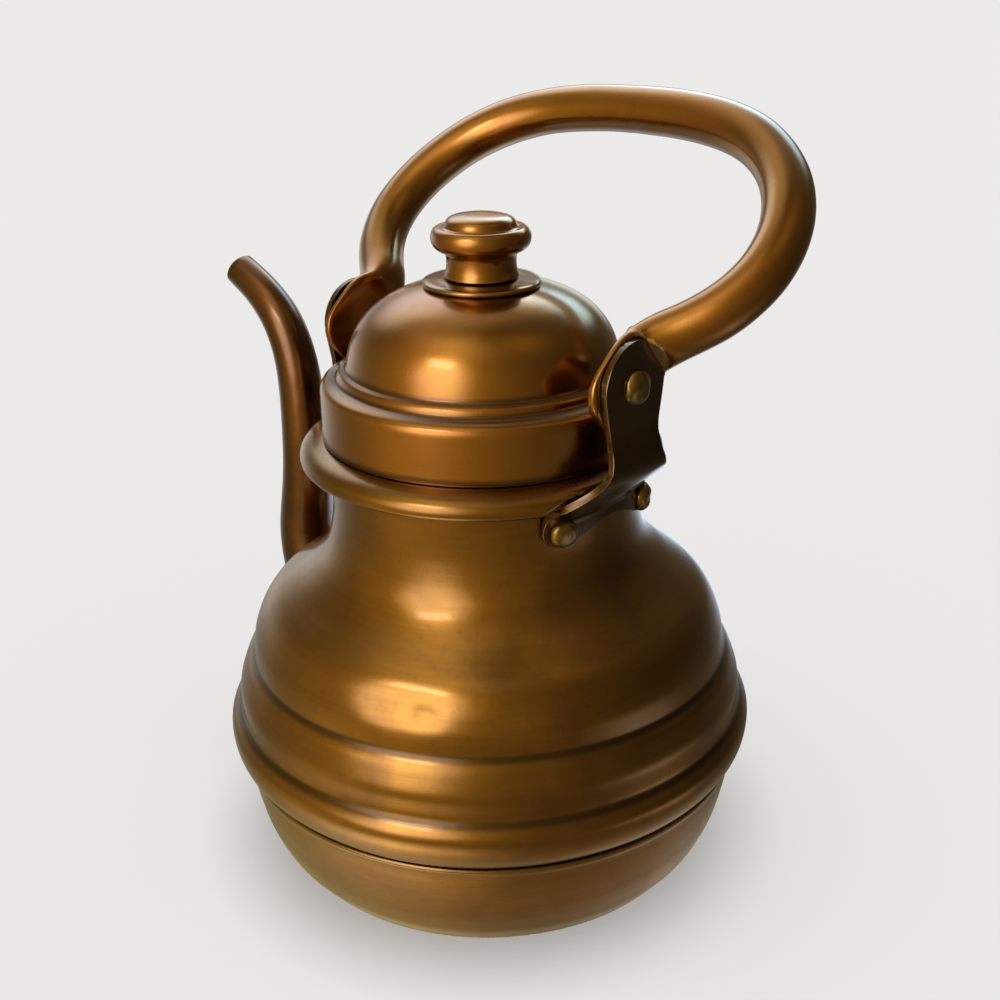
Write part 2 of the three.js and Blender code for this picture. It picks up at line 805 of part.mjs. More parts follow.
// Materials: satin brown-gold copper, the brackets nearly black, the rivets rubbed bright
const copper = new THREE.MeshStandardMaterial({ color: 0x8f5f2a, metalness: 1, roughness: 0.34 });
const skirtCopper = new THREE.MeshStandardMaterial({ color: 0x86511f, metalness: 1, roughness: 0.4 });
const darkCopper = new THREE.MeshStandardMaterial({ color: 0x4a2c1a, metalness: 1, roughness: 0.45 });
const rubbedBrass = new THREE.MeshStandardMaterial({ color: 0xa08a4c, metalness: 1, roughness: 0.38 });

// Puts a named solid into a group.
function place(group, name, solid, material) {
  const mesh = new THREE.Mesh(geometryOf(solid), material);
  mesh.name = name;
  group.add(mesh);
  return mesh;
}

const kettle = new THREE.Group();

const vessel = new THREE.Group();
kettle.add(vessel);
place(vessel, "bottom_pan", makeBottomPan(), copper);
place(vessel, "body_shell", makeBodyShell(spoutBore()), copper);
place(vessel, "mouth_ring", makeMouthRing(), copper);
place(vessel, "spout", makeSpout(), copper);

const footTailFace = neckRadius - sheet - 2 * seatGap;
const footGrip = wingOutside + seatGap - footTailFace;
const footRivet = makeRivet(
  footGrip,
  footShankRadius,
  footHeadRadius,
  footHeadRise,
  footTailRadius,
  footTailRise,
);
const pivotGrip = strapOutside - tabInside + 2 * seatGap;
const pivotRivet = makeRivet(
  pivotGrip,
  pivotShankRadius,
  pivotHeadRadius,
  pivotHeadRise,
  pivotTailRadius,
  pivotTailRise,
);
const bracket = makeBracket();

// Each bracket and its rivets stand in a group that is turned to its side of the neck.
for (const [side, turn] of [
  ["rear", 0],
  ["front", Math.PI],
]) {
  const ear = new THREE.Group();
  ear.rotation.z = turn;
  vessel.add(ear);
  place(ear, side + "_bracket", bracket, darkCopper);
  for (const [hand, direction] of [
    ["left", -1],
    ["right", 1],
  ]) {
    const rivet = place(ear, side + "_foot_rivet_" + hand, footRivet, rubbedBrass);
    const angle = direction * footRivetAngle;
    rivet.position.copy(around(footTailFace, angle, wingBase + footRivetRise));
    rivet.rotation.set(0, Math.PI / 2, angle, "ZYX");
  }
  const pivot = place(ear, side + "_pivot_rivet", pivotRivet, rubbedBrass);
  pivot.position.set(tabInside - seatGap, 0, pivotHeight);
  pivot.rotation.y = Math.PI / 2;
}

const handle = new THREE.Group();
handle.position.z = pivotHeight;
handle.rotation.x = -bailTilt;
kettle.add(handle);
place(handle, "bail_handle", makeBail(), copper);

const lid = new THREE.Group();
kettle.add(lid);
place(lid, "lid_shell", makeLidShell(), skirtCopper);
place(lid, "knob_plate", makeKnobPlate(), copper);
place(lid, "lid_knob", makeKnob(), copper);
place(lid, "knob_washer", makeKnobWasher(), darkCopper);

export default kettle;
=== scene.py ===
import json
import math

import bmesh
import bpy
import numpy as np
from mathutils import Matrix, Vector, noise


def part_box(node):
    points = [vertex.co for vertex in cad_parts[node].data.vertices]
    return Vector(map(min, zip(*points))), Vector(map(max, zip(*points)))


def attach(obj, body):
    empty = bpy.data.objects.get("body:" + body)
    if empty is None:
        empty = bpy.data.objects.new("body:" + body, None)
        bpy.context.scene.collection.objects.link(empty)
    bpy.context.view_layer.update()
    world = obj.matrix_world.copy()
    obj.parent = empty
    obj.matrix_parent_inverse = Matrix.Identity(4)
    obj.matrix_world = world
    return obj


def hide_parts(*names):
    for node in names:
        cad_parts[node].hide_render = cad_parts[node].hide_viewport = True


bl_info = {
    "name": "Copper Tea Kettle",
    "version": (1, 0, 0),
    "blender": (4, 5, 0),
    "location": "3D View > Sidebar > Kettle",
    "description": "Builds an old copper tea kettle with a riveted bail handle, piece by piece",
    "category": "Add Mesh",
}

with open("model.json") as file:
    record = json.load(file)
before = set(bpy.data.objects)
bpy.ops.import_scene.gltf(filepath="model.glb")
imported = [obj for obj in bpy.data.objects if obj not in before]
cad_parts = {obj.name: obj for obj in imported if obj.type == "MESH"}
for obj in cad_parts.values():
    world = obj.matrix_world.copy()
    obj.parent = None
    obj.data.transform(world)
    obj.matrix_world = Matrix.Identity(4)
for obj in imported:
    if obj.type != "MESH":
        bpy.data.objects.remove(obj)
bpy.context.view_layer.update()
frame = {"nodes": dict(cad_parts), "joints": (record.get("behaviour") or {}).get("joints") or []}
joints = {joint["name"]: joint for joint in frame["joints"]}

MM = 0.001
CREASE_ANGLE = math.radians(50)  # edges sharper than this stay sharp in the shading

# Outlines of the turned pieces, in millimetres: radius and height above the table.
PAN_OUTLINE = [
    (0, 0), (30, 0), (60, 0), (76, 0), (79.4, 0.15), (80.9, 1), (82.1, 2.6),
    (84, 5), (86.2, 8), (88.1, 12), (89.8, 16), (91.1, 20), (92.0, 24), (92.9, 28),
    (93.6, 32), (94.1, 35.4), (94.3, 37.6), (94.6, 38.5), (95.0, 39.1), (95.1, 39.7),
    (94.9, 40.4), (94.2, 40.9), (93.2, 41.1), (92.2, 41.15), (92.2, 46.4),
]
BODY_OUTLINE = [
    (93.3, 41.65), (94.3, 41.75), (95.4, 42.3), (96.8, 43.8), (98.2, 45.9), (99.2, 48.2),
    (99.75, 50.6), (99.9, 53), (99.7, 55), (99.1, 56.8), (98.2, 58.1), (97.1, 59.1),
    (96.2, 60), (95.7, 61.4), (95.5, 63.4), (95.45, 66), (95.35, 68.2), (95, 70),
    (94.5, 71.6), (93.9, 73.2), (93.2, 75), (92.5, 76.7), (91.7, 78.2), (90.7, 79.4),
    (89.8, 80.3), (89.3, 81.4), (89.1, 83.4), (88.8, 86), (88.3, 89),
    (87.4, 92), (86.2, 95.2), (84.6, 98.2), (82.4, 101.2), (79.6, 103.8), (76.2, 106.2),
    (72.4, 108.8), (68.6, 111.6), (65, 114.9), (61.9, 118.4), (59.7, 122), (58.2, 126),
    (57.1, 131), (56.4, 136), (56.2, 141), (56.2, 146), (56.2, 152), (56.2, 160),
    (56.2, 169), (56.2, 176.8), (55.9, 177.6), (55.4, 177.9),
]
RING_OUTLINE = [
    (56.5, 157.4), (56.5, 160), (56.5, 162.8), (56.9, 163.4), (58, 163.45), (59.6, 163.2),
    (61.4, 162.7), (63.2, 162), (64.8, 161), (66, 159.8), (66.7, 158.4), (66.9, 157),
    (66.75, 155.9), (66.2, 155.2), (65.5, 155.25), (65.1, 155.9),
]
LID_OUTLINE = [
    (58.3, 163.9), (58.4, 164.3), (58.4, 168), (58.4, 174), (58.35, 179), (58.3, 181),
    (58.05, 182.3), (57.4, 183.3), (56.3, 184), (54.8, 184.5), (53.2, 185), (52.3, 185.5),
    (51.95, 186.2), (51.8, 187), (51.4, 187.8), (50.6, 188.4), (49.6, 188.8),
    (48.95, 189.3), (48.65, 190.1), (48.45, 191.2), (48.15, 192.6),
    (47.6, 194.8), (46.9, 197.2), (45.7, 199.9), (44.2, 202.5), (42.3, 205), (40, 207.4),
    (37.2, 209.6), (34, 211.6), (30.4, 213.3), (26.4, 214.8), (22, 216), (17, 216.9),
    (11, 217.5), (4, 217.8),
]
PLATE_OUTLINE = [
    (3, 218), (10, 217.8), (15, 217.3), (19, 216.6), (20.1, 216.55), (20.7, 216.9),
    (20.9, 217.5), (20.7, 218.1), (20, 218.5), (18.6, 218.6), (16, 218.7), (13.6, 218.95),
    (8, 219.15), (3, 219.15),
]
KNOB_OUTLINE = [
    (0, 219.35), (8, 219.35), (12.6, 219.4), (13.1, 219.7), (13.1, 220.3), (12.8, 221),
    (12.4, 222), (12.2, 223.4), (12.15, 225), (12.25, 226.4), (12.6, 227.4),
    (13.5, 228.2), (15, 228.9), (16.3, 229.9), (17.1, 231.2), (17.4, 232.7), (17.3, 234.2),
    (16.9, 235.4), (16.1, 236.3), (15.1, 236.7), (14.1, 236.6), (13.2, 236.5),
    (12.7, 236.9), (12.4, 237.8), (11.9, 238.8), (11, 239.6), (9.5, 240.2), (7, 240.6),
    (3.5, 240.8), (0, 240.85),
]
# A rivet with its head's radius and height as 1; what lies below 0 is its grip.
RIVET_OUTLINE = [
    (0, -1), (0.66, -1), (0.72, -0.9), (0.72, -0.3), (0.97, 0), (1, 0.12), (0.99, 0.3),
    (0.93, 0.52), (0.82, 0.72), (0.66, 0.88), (0.46, 0.97), (0.22, 1), (0, 1),
]

# Heights of the creases that are darkened, partly as grime and partly as painted shade.
BODY_GRIME_AND_SHADE_SEAMS = (41.4, 59.9, 80.7)
LID_GRIME_AND_SHADE_SEAMS = (165, 185.3, 189.4)

# Where the shoulder swells or sinks: azimuth and height in the middle, spread to both
# (degrees and millimetres), and amount.
SHOULDER_SWELLS = [(46, 113, 42, 10, 2.1), (-136, 104, 40, 12, -0.7)]
# The knocks that make the belly's dent, the same way, but with the spread round the body in
# millimetres, and a share of the dent's depth.
BELLY_KNOCKS = [(-67, 97.6, 15, 8, 0.55), (-61, 94.6, 4.6, 3.4, 0.75), (-71, 94.4, 7, 4, 0.3)]

RING_SHEET = 1.2
RING_LIP = 11  # the point of the ring's outline that stands out furthest
RING_KNOCK = 2.4  # how far the ring's lip is knocked in beside the rear bracket
RING_KNOCK_SPAN = (8, 22, 60, 96)  # azimuths where the knock starts, is full, and ends
RING_CLEARANCE = 5.2  # from the bracket's outer face, level, in to the ring behind it
RING_DEEPEST = 0.9  # no point of it is pressed in further than to this share of its bore
RING_GIVE = (3, 5)  # how far past the bracket's edge the lip gives way, and then recovers

# Hand work on each piece: how far it strays as a share of the set unevenness, over patches
# of what width, and where in the noise they are taken from.
UNEVENNESS = {
    "pan": (0.6, 50, 3),
    "body": (1, 40, 7),
    "ring": (0.5, 30, 11),
    "lid": (0.7, 30, 17),
    "plate": (0.4, 12, 19),
    "knob": (0.5, 10, 23),
    "spout": (0.6, 20, 29),
    "bail": (1.2, 25, 31),
    "strap": (1.1, 9, 37),
}

# The spout's centre line: distance out from the axis, height and outer radius.
SPOUT_LINE = [
    (84, 62.5, 14.2), (91, 64.8, 14), (97.6, 68.9, 13.6), (102.4, 75.5, 12.9),
    (105.4, 84.5, 12.2), (106.6, 95, 11.6), (105.6, 106, 11), (104.1, 118, 10.4),
    (103.3, 131, 9.9), (103.4, 146, 9.4), (104.2, 158, 9), (105.9, 168.5, 8.6),
    (109.1, 177.5, 8.25), (114, 185.3, 7.9), (120.4, 191.4, 7.5), (127.6, 196.3, 7.1),
    (138, 201.6, 6.7),
]
BORE_END = 7  # the point of the spout's line where the hole in the body stops
BODY_CORE_END = 40  # the point of the body's outline up to which it trims the spout's foot

# Half of the bail's centre line in its own plane: out from the middle, up from the pivot,
# half thickness in the plane, half width across it, and how flat it is pressed.
BAIL_LINE = [
    (63.4, -16.8, 1.3, 3.2, 1), (63.4, -16.4, 1.7, 7.4, 1), (63.4, -14.6, 1.75, 11, 1),
    (63.4, -11.8, 1.75, 13.4, 1), (63.4, -8, 1.75, 14.6, 1), (63.4, -2, 1.75, 15, 1),
    (63.4, 4, 1.75, 14.9, 1), (63.4, 8.6, 1.75, 14.1, 1), (63.4, 11.4, 1.9, 13, 1),
    (63.5, 12.8, 3.4, 12.2, 0.9), (63.8, 13.9, 4.9, 11.5, 0.7), (64.3, 15.1, 4.8, 10.9, 0.5),
    (65.4, 16.9, 6.5, 10.3, 0.26),
    (69, 21.2, 8.2, 9.6, 0.08), (74, 26.2, 8.6, 9.2, 0.02), (79.9, 33.2, 8.8, 9, 0),
    (84.4, 41.2, 8.8, 8.9, 0), (87.1, 49.6, 8.9, 8.9, 0), (87.8, 58.1, 8.9, 8.9, 0),
    (86.9, 66.8, 8.9, 8.9, 0), (84.3, 75.6, 8.9, 8.9, 0), (79.9, 84.3, 8.9, 8.9, 0),
    (73.6, 92.8, 8.9, 8.9, 0), (65.4, 100.4, 8.9, 8.9, 0), (55.4, 106.9, 8.9, 8.9, 0),
    (43.9, 111.6, 8.9, 8.9, 0), (30.8, 114.6, 8.9, 8.9, 0), (15.7, 116.3, 8.9, 8.9, 0),
    (0, 116.8, 8.9, 8.9, 0),
]
FAR_LEG_LEAN = 0.94  # how far out the far leg stands, against the near one
BAIL_TILT = math.radians(51)
BAIL_SQUARENESS = 2.4  # how much squarer than a circle the pressed ends are
# The bright band round this crease is rubbed metal and also a painted highlight on the crease.
KNUCKLE_RUB_AND_HIGHLIGHT = (12.9, 13.8, 65.5)  # heights, and distance out, of the rubbed crease

# The bracket's sheet in its middle plane: out from the axis and height of the outer face.
BRACKET_LINE = [
    (59, 139.8), (59, 143), (59, 146.2), (59.3, 148.4), (60.6, 150.8), (62.8, 153.6),
    (65.6, 157), (68.2, 160.4), (69.8, 162.8), (70.4, 164.6), (70.4, 166.4), (69.9, 168.6),
    (69, 172), (68.2, 175.4), (67.8, 178.4), (67.7, 181), (67.7, 187), (67.7, 193),
]
BRACKET_GRID = (28, 84)  # how many faces the sheet has across and up
BRACKET_CROWDING = 1.15  # above 1, the faces are smaller near the wings
BRACKET_HEAD = 15.5  # radius of the round head
BRACKET_BEND = 9  # the point of the line where the sheet bends up
# Half the bracket's width at heights from the wings' lower edge up to the pivot.
BRACKET_EDGE = [
    (139.8, 23), (140.5, 26), (142, 28.1), (145.4, 29), (149, 28.3), (152, 27.5),
    (154, 26.5), (156, 24.9), (158, 23), (160.4, 20.6), (162.4, 18.4), (164.2, 16.4),
    (165.5, 15.2), (167, 14.2), (169, 13.4), (172, 12.7), (175, 12.5), (179, 12.9),
    (183, 13.7), (187, 14.6), (190.4, 15.2), (193, 15.5),
]
# How far the bracket's flare stands to the left of its middle, at heights.
BRACKET_SKEW = [
    (147, 0), (150, -0.7), (153, -1.8), (156, -2.8), (158, -3), (160.4, -2.8), (162.4, -2.7),
    (164.2, -2), (165.5, -1.2), (167, -0.6), (169, -0.3), (172, 0),
]
WING_REACH = 2.2  # out to here, from the wing's face, the sheet follows the neck
WING_TOP = 151.6  # up to here the wings' edges arch
WING_ARCH = 6.4

# The rounded edges take the bright edge finish: rubbed metal and also a painted edge highlight.
STRAP_EDGE = 0.7  # how far the bracket's edges are rounded and rubbed
SPOUT_EDGE = 0.35

RIVET_SEGMENTS = 48
HAMMER_MARKS = (0.42, 4.2)  # how deep and how wide the hammer's marks on a rivet are
FINE_MARKS = (0.4, 0.45)  # the finer ones among them, as shares of both
# Of the foot rivets and the pivot rivets: head radius and height, grip, and how far out the
# bracket's face is.
RIVET_SIZES = {"foot": (5.1, 3.3, 4.2, 59), "pivot": (6, 3.2, 5.6, 67.7)}

# Light tent: azimuth and elevation of each glow, its spread to both, how crisp its edge
# is, and its colour.
TENT_GLOWS = [
    (-83, 24, 22, 27, 2, (2.9, 2.9, 2.9)),
    (-78, -34, 22, 5, 1, (2.4, 2.3, 1.9)),
    (-98, 66, 46, 15, 1, (1.1, 1.0, 0.6)),
    (-88, 17, 55, 57, 1, (0.6, 0.45, 0.1)),
    (108, 35, 24, 11, 2, (1.4, 2.6, 3.5)),
    (113, -21, 21, 10, 1, (0.8, 1.05, 1.4)),
    (146, 42, 37, 18, 2, (1.6, 1.8, 2)),
    (156, 68, 47, 16, 1, (0.6, 0.6, 0.45)),
    (-178, -45, 29, 20, 1, (0.34, 0.38, 0.45)),
    (165, 0, 26, 16, 1, (0.6, 0.62, 0.62)),
    (-108, -24, 18, 14, 1, (0.35, 0.26, 0.08)),
    (-70, -46, 34, 10, 1, (0.3, 0.25, 0.13)),
    (121, 8, 15, 8, 2, (0.77, 0.88, 0.85)),
    (12, -20, 16, 6, 1, (0.45, 0.5, 0.6)),
    (5, -46, 34, 9, 1, (0.3, 0.26, 0.22)),
    (14, 66, 30, 14, 1, (0.3, 0.22, 0.06)),
    (52, 5, 42, 30, 1, (-0.07, -0.055, -0.03)),
]
TENT_DUSK = (0.13, 0.105, 0.06)  # its colour where no glow is
TENT_RADIUS = 0.95
TENT_MIDDLE = 0.1  # height of the tent's middle
TENT_FLOOR = -0.002  # the tent is flat below this height

FLOOR_RADIUS = 1.6
FLOOR_FADE = (0.35, 1.3)  # how far from the kettle the floor starts to fade, and ends

# The photograph's camera: azimuth, elevation and roll in degrees, distance, the point it
# looks at (to its right of the axis, and up) in millimetres, and its lens on a 36 mm frame.
CAMERA_TURN, CAMERA_DOWN, CAMERA_ROLL = 42.8, 22.72, -0.87
CAMERA_DISTANCE, CAMERA_ASIDE, CAMERA_HEIGHT = 500, 5.16, 135
CAMERA_FRAME = 36
CAMERA_LENS = CAMERA_FRAME * 1348 / 1000


def linear(code):
    """Turns an sRGB hex colour into linear red, green, blue and alpha."""
    parts = [int(code[i : i + 2], 16) / 255 for i in (0, 2, 4)]
    shares = [c / 12.92 if c <= 0.04045 else ((c + 0.055) / 1.055) ** 2.4 for c in parts]
    return (*shares, 1.0)


def cleared_tree(owner):
    """Gives a material or a world an empty node tree."""
    owner.use_nodes = True
    owner.node_tree.nodes.clear()
    return owner.node_tree


def add_node(tree, kind, settings=None, links=None):
    """Adds a node, sets its inputs or properties, and links outputs of other nodes to it."""
    node = tree.nodes.new(kind)
    for key, value in (settings or {}).items():
        if isinstance(key, int) or key in node.inputs:
            node.inputs[key].default_value = value
        else:
            setattr(node, key, value)
    for key, (source, output) in (links or {}).items():
        tree.links.new(source.outputs[output], node.inputs[key])
    return node


def leave_only(piece):
    """Selects one object and makes it the active one."""
    bpy.ops.object.select_all(action="DESELECT")
    piece.select_set(True)
    bpy.context.view_layer.objects.active = piece


def apply_modifier(piece, kind, **settings):
    """Adds a modifier with its settings and applies it."""
    leave_only(piece)
    modifier = piece.modifiers.new(kind.title(), kind)
    for key, value in settings.items():
        setattr(modifier, key, value)
    bpy.ops.object.modifier_apply(modifier=modifier.name)


def share_of(value, start, end):
    """How far a value has come from a start to an end, from 0 to 1."""
    return min(max((value - start) / (end - start), 0), 1)


def smooth_line(points, step):
    """Draws a smooth line through points, and blends what else they hold, in even steps."""
    points = np.array(points, float)
    spans = np.linalg.norm(np.diff(points[:, :2], axis=0), axis=1) ** 0.5
    times = np.concatenate([[0], np.cumsum(np.maximum(spans, 1e-6))])
    slopes = np.gradient(points, times, axis=0)
    made = [points[0]]
    for i in range(len(points) - 1):
        length = np.linalg.norm(points[i + 1, :2] - points[i, :2])
        count = max(1, round(length / step))
        width = times[i + 1] - times[i]
        for k in range(1, count + 1):
            t = k / count
            made.append(
                points[i] * (2 * t**3 - 3 * t**2 + 1)
                + slopes[i] * width * (t**3 - 2 * t**2 + t)
                + points[i + 1] * (3 * t**2 - 2 * t**3)
                + slopes[i + 1] * width * (t**3 - t**2)
            )
    return np.array(made)


def turned(name, outline, segments, step=1.6, closes=False):
    """Draws an outline by extruding a point, and spins it round the upright axis."""
    line = smooth_line(outline, step)
    if closes:
        line = np.vstack([line, line[:1]])
    bpy.ops.object.select_all(action="DESELECT")
    bpy.ops.mesh.primitive_plane_add(size=MM, location=(0, 0, 0))
    piece = bpy.context.object
    piece.name = piece.data.name = name
    bpy.ops.object.mode_set(mode="EDIT")
    bpy.ops.mesh.merge(type="CENTER")
    places = [Vector((radius * MM, 0, height * MM)) for radius, height in line[:, :2]]
    bpy.ops.transform.translate(value=places[0])
    for before, after in zip(places, places[1:]):
        bpy.ops.mesh.extrude_region_move(TRANSFORM_OT_translate={"value": after - before})
    bpy.ops.mesh.select_all(action="SELECT")
    bpy.ops.mesh.spin(steps=segments, angle=2 * math.pi, center=(0, 0, 0), axis=(0, 0, 1))
    bpy.ops.mesh.select_all(action="SELECT")
    bpy.ops.mesh.remove_doubles(threshold=0.01 * MM)
    bpy.ops.mesh.normals_make_consistent(inside=False)
    bpy.ops.object.mode_set(mode="OBJECT")
    return piece


def drawn_out(name, rings):
    """Extrudes a ring of points from place to place. The rings hold equal numbers of points."""
    sides = len(rings[0])
    bpy.ops.object.select_all(action="DESELECT")
    bpy.ops.mesh.primitive_circle_add(vertices=sides, radius=MM, fill_type="NOTHING")
    piece = bpy.context.object
    piece.name = piece.data.name = name
    bpy.ops.object.mode_set(mode="EDIT")
    shape = bmesh.from_edit_mesh(piece.data)
    order = list(shape.verts)
    for vertex, place in zip(order, rings[0]):
        vertex.co = place
    for ring in rings[1:]:
        bpy.ops.mesh.extrude_region_move()
        shape = bmesh.from_edit_mesh(piece.data)
        shape.verts.ensure_lookup_table()
        known = {tuple(round(c, 8) for c in vertex.co): i for i, vertex in enumerate(order)}
        fresh = [vertex for vertex in shape.verts if vertex.select]
        order = sorted(fresh, key=lambda vertex: known[tuple(round(c, 8) for c in vertex.co)])
        for vertex, place in zip(order, ring):
            vertex.co = place
        bmesh.update_edit_mesh(piece.data)
        shape = bmesh.from_edit_mesh(piece.data)
        order = [shape.verts[vertex.index] for vertex in order]
    bpy.ops.object.mode_set(mode="OBJECT")
    return piece


def stand(piece, turn, place=(0, 0, 0)):
    """Turns and moves a piece and puts its place in its mesh."""
    leave_only(piece)
    piece.rotation_euler = turn
    piece.location = place
    bpy.ops.object.transform_apply(location=True, rotation=True, scale=True)


def move_points(piece, mover):
    """Moves every point of a piece by what the mover says for its place and normal."""
    mesh = piece.data
    places = [(vertex.co.copy(), vertex.normal.copy()) for vertex in mesh.vertices]
    for vertex, (place, normal) in zip(mesh.vertices, places):
        vertex.co = mover(place, normal)
    mesh.update()


def make_uneven(piece, kind):
    """Hand work: the surface swells and sinks a little in patches."""
    share, width, seed = UNEVENNESS[kind]
    amount = bpy.context.scene.kettle_sizes.unevenness * share

    def mover(place, normal):
        wave = noise.noise(place / (width * MM) + Vector((seed, 0, 0)))
        return place + normal * (amount * wave)

    move_points(piece, mover)


def round_edges(piece, width, segments=2, limit=40, material=-1):
    """Breaks the sharp edges of a piece, and can give them a finish of their own."""
    apply_modifier(
        piece,
        "BEVEL",
        width=width,
        segments=segments,
        limit_method="ANGLE",
        angle_limit=math.radians(limit),
        harden_normals=False,
        material=material,
    )


def coat(piece, *names):
    """Gives a piece its finishes, one slot each."""
    piece.data.materials.clear()
    for name in names:
        piece.data.materials.append(finish(name))


def place_piece(piece, body, node):
    """Smooths a piece, puts it under the body that it moves with, and hides the node that it
    stands for.
    """
    leave_only(piece)
    bpy.ops.object.shade_smooth_by_angle(angle=CREASE_ANGLE)
    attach(piece, body)
    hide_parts(node)


class KettleSizes(bpy.types.PropertyGroup):
    sheet: bpy.props.FloatProperty(
        name="Sheet",
        description="Thickness of the spun copper sheet",
        default=1.5 * MM,
        unit="LENGTH",
    )
    lid_sheet: bpy.props.FloatProperty(
        name="Lid sheet", description="Thickness of the lid", default=1.3 * MM, unit="LENGTH"
    )
    bracket_sheet: bpy.props.FloatProperty(
        name="Bracket sheet",
        description="Thickness of the bail brackets",
        default=2.2 * MM,
        unit="LENGTH",
    )
    dent_depth: bpy.props.FloatProperty(
        name="Dent", description="Depth of the dent in the belly", default=1.5 * MM, unit="LENGTH"
    )
    unevenness: bpy.props.FloatProperty(
        name="Unevenness",
        description="How far the sheet strays from a true turned form",
        default=0.22 * MM,
        unit="LENGTH",
    )
    body_segments: bpy.props.IntProperty(
        name="Body segments", description="Steps round the body", default=216, min=24
    )
    small_segments: bpy.props.IntProperty(
        name="Small segments", description="Steps round the plate and the knob", default=96, min=24
    )
    tube_sides: bpy.props.IntProperty(
        name="Tube sides", description="Steps round the bail and the spout", default=48, min=12
    )


class KettleColours(bpy.types.PropertyGroup):
    copper: bpy.props.FloatVectorProperty(
        name="Copper",
        description="Satin brown-gold copper",
        subtype="COLOR",
        size=4,
        default=linear("9d6b1a"),
    )
    tarnish: bpy.props.FloatVectorProperty(
        name="Tarnish",
        description="Brown tarnish in patches",
        subtype="COLOR",
        size=4,
        default=linear("69420e"),
    )
    red_copper: bpy.props.FloatVectorProperty(
        name="Red copper",
        description="Redder copper where the patina is thin",
        subtype="COLOR",
        size=4,
        default=linear("985a1c"),
    )
    # The spout's copper is partly its browner patina and partly painted shade: darker because the
    # spout gets little light.
    spout_copper: bpy.props.FloatVectorProperty(
        name="Spout copper",
        description="Browner copper of the spout",
        subtype="COLOR",
        size=4,
        default=linear("7a4a1e"),
    )
    dark_copper: bpy.props.FloatVectorProperty(
        name="Dark copper",
        description="Nearly black-brown oxide of the brackets",
        subtype="COLOR",
        size=4,
        default=linear("3a2010"),
    )
    # This bright colour is worn metal, and on the knuckle and the bracket edges also a painted
    # highlight.
    worn_brass: bpy.props.FloatVectorProperty(
        name="Worn edge",
        description="Bright metal where edges are rubbed",
        subtype="COLOR",
        size=4,
        default=linear("e2cf9c"),
    )
    rivet_brass: bpy.props.FloatVectorProperty(
        name="Rivet brass",
        description="Browned brass of the rivets",
        subtype="COLOR",
        size=4,
        default=linear("a08038"),
    )
    floor: bpy.props.FloatVectorProperty(
        name="Floor", description="Pale floor", subtype="COLOR", size=4, default=linear("ecebea")
    )


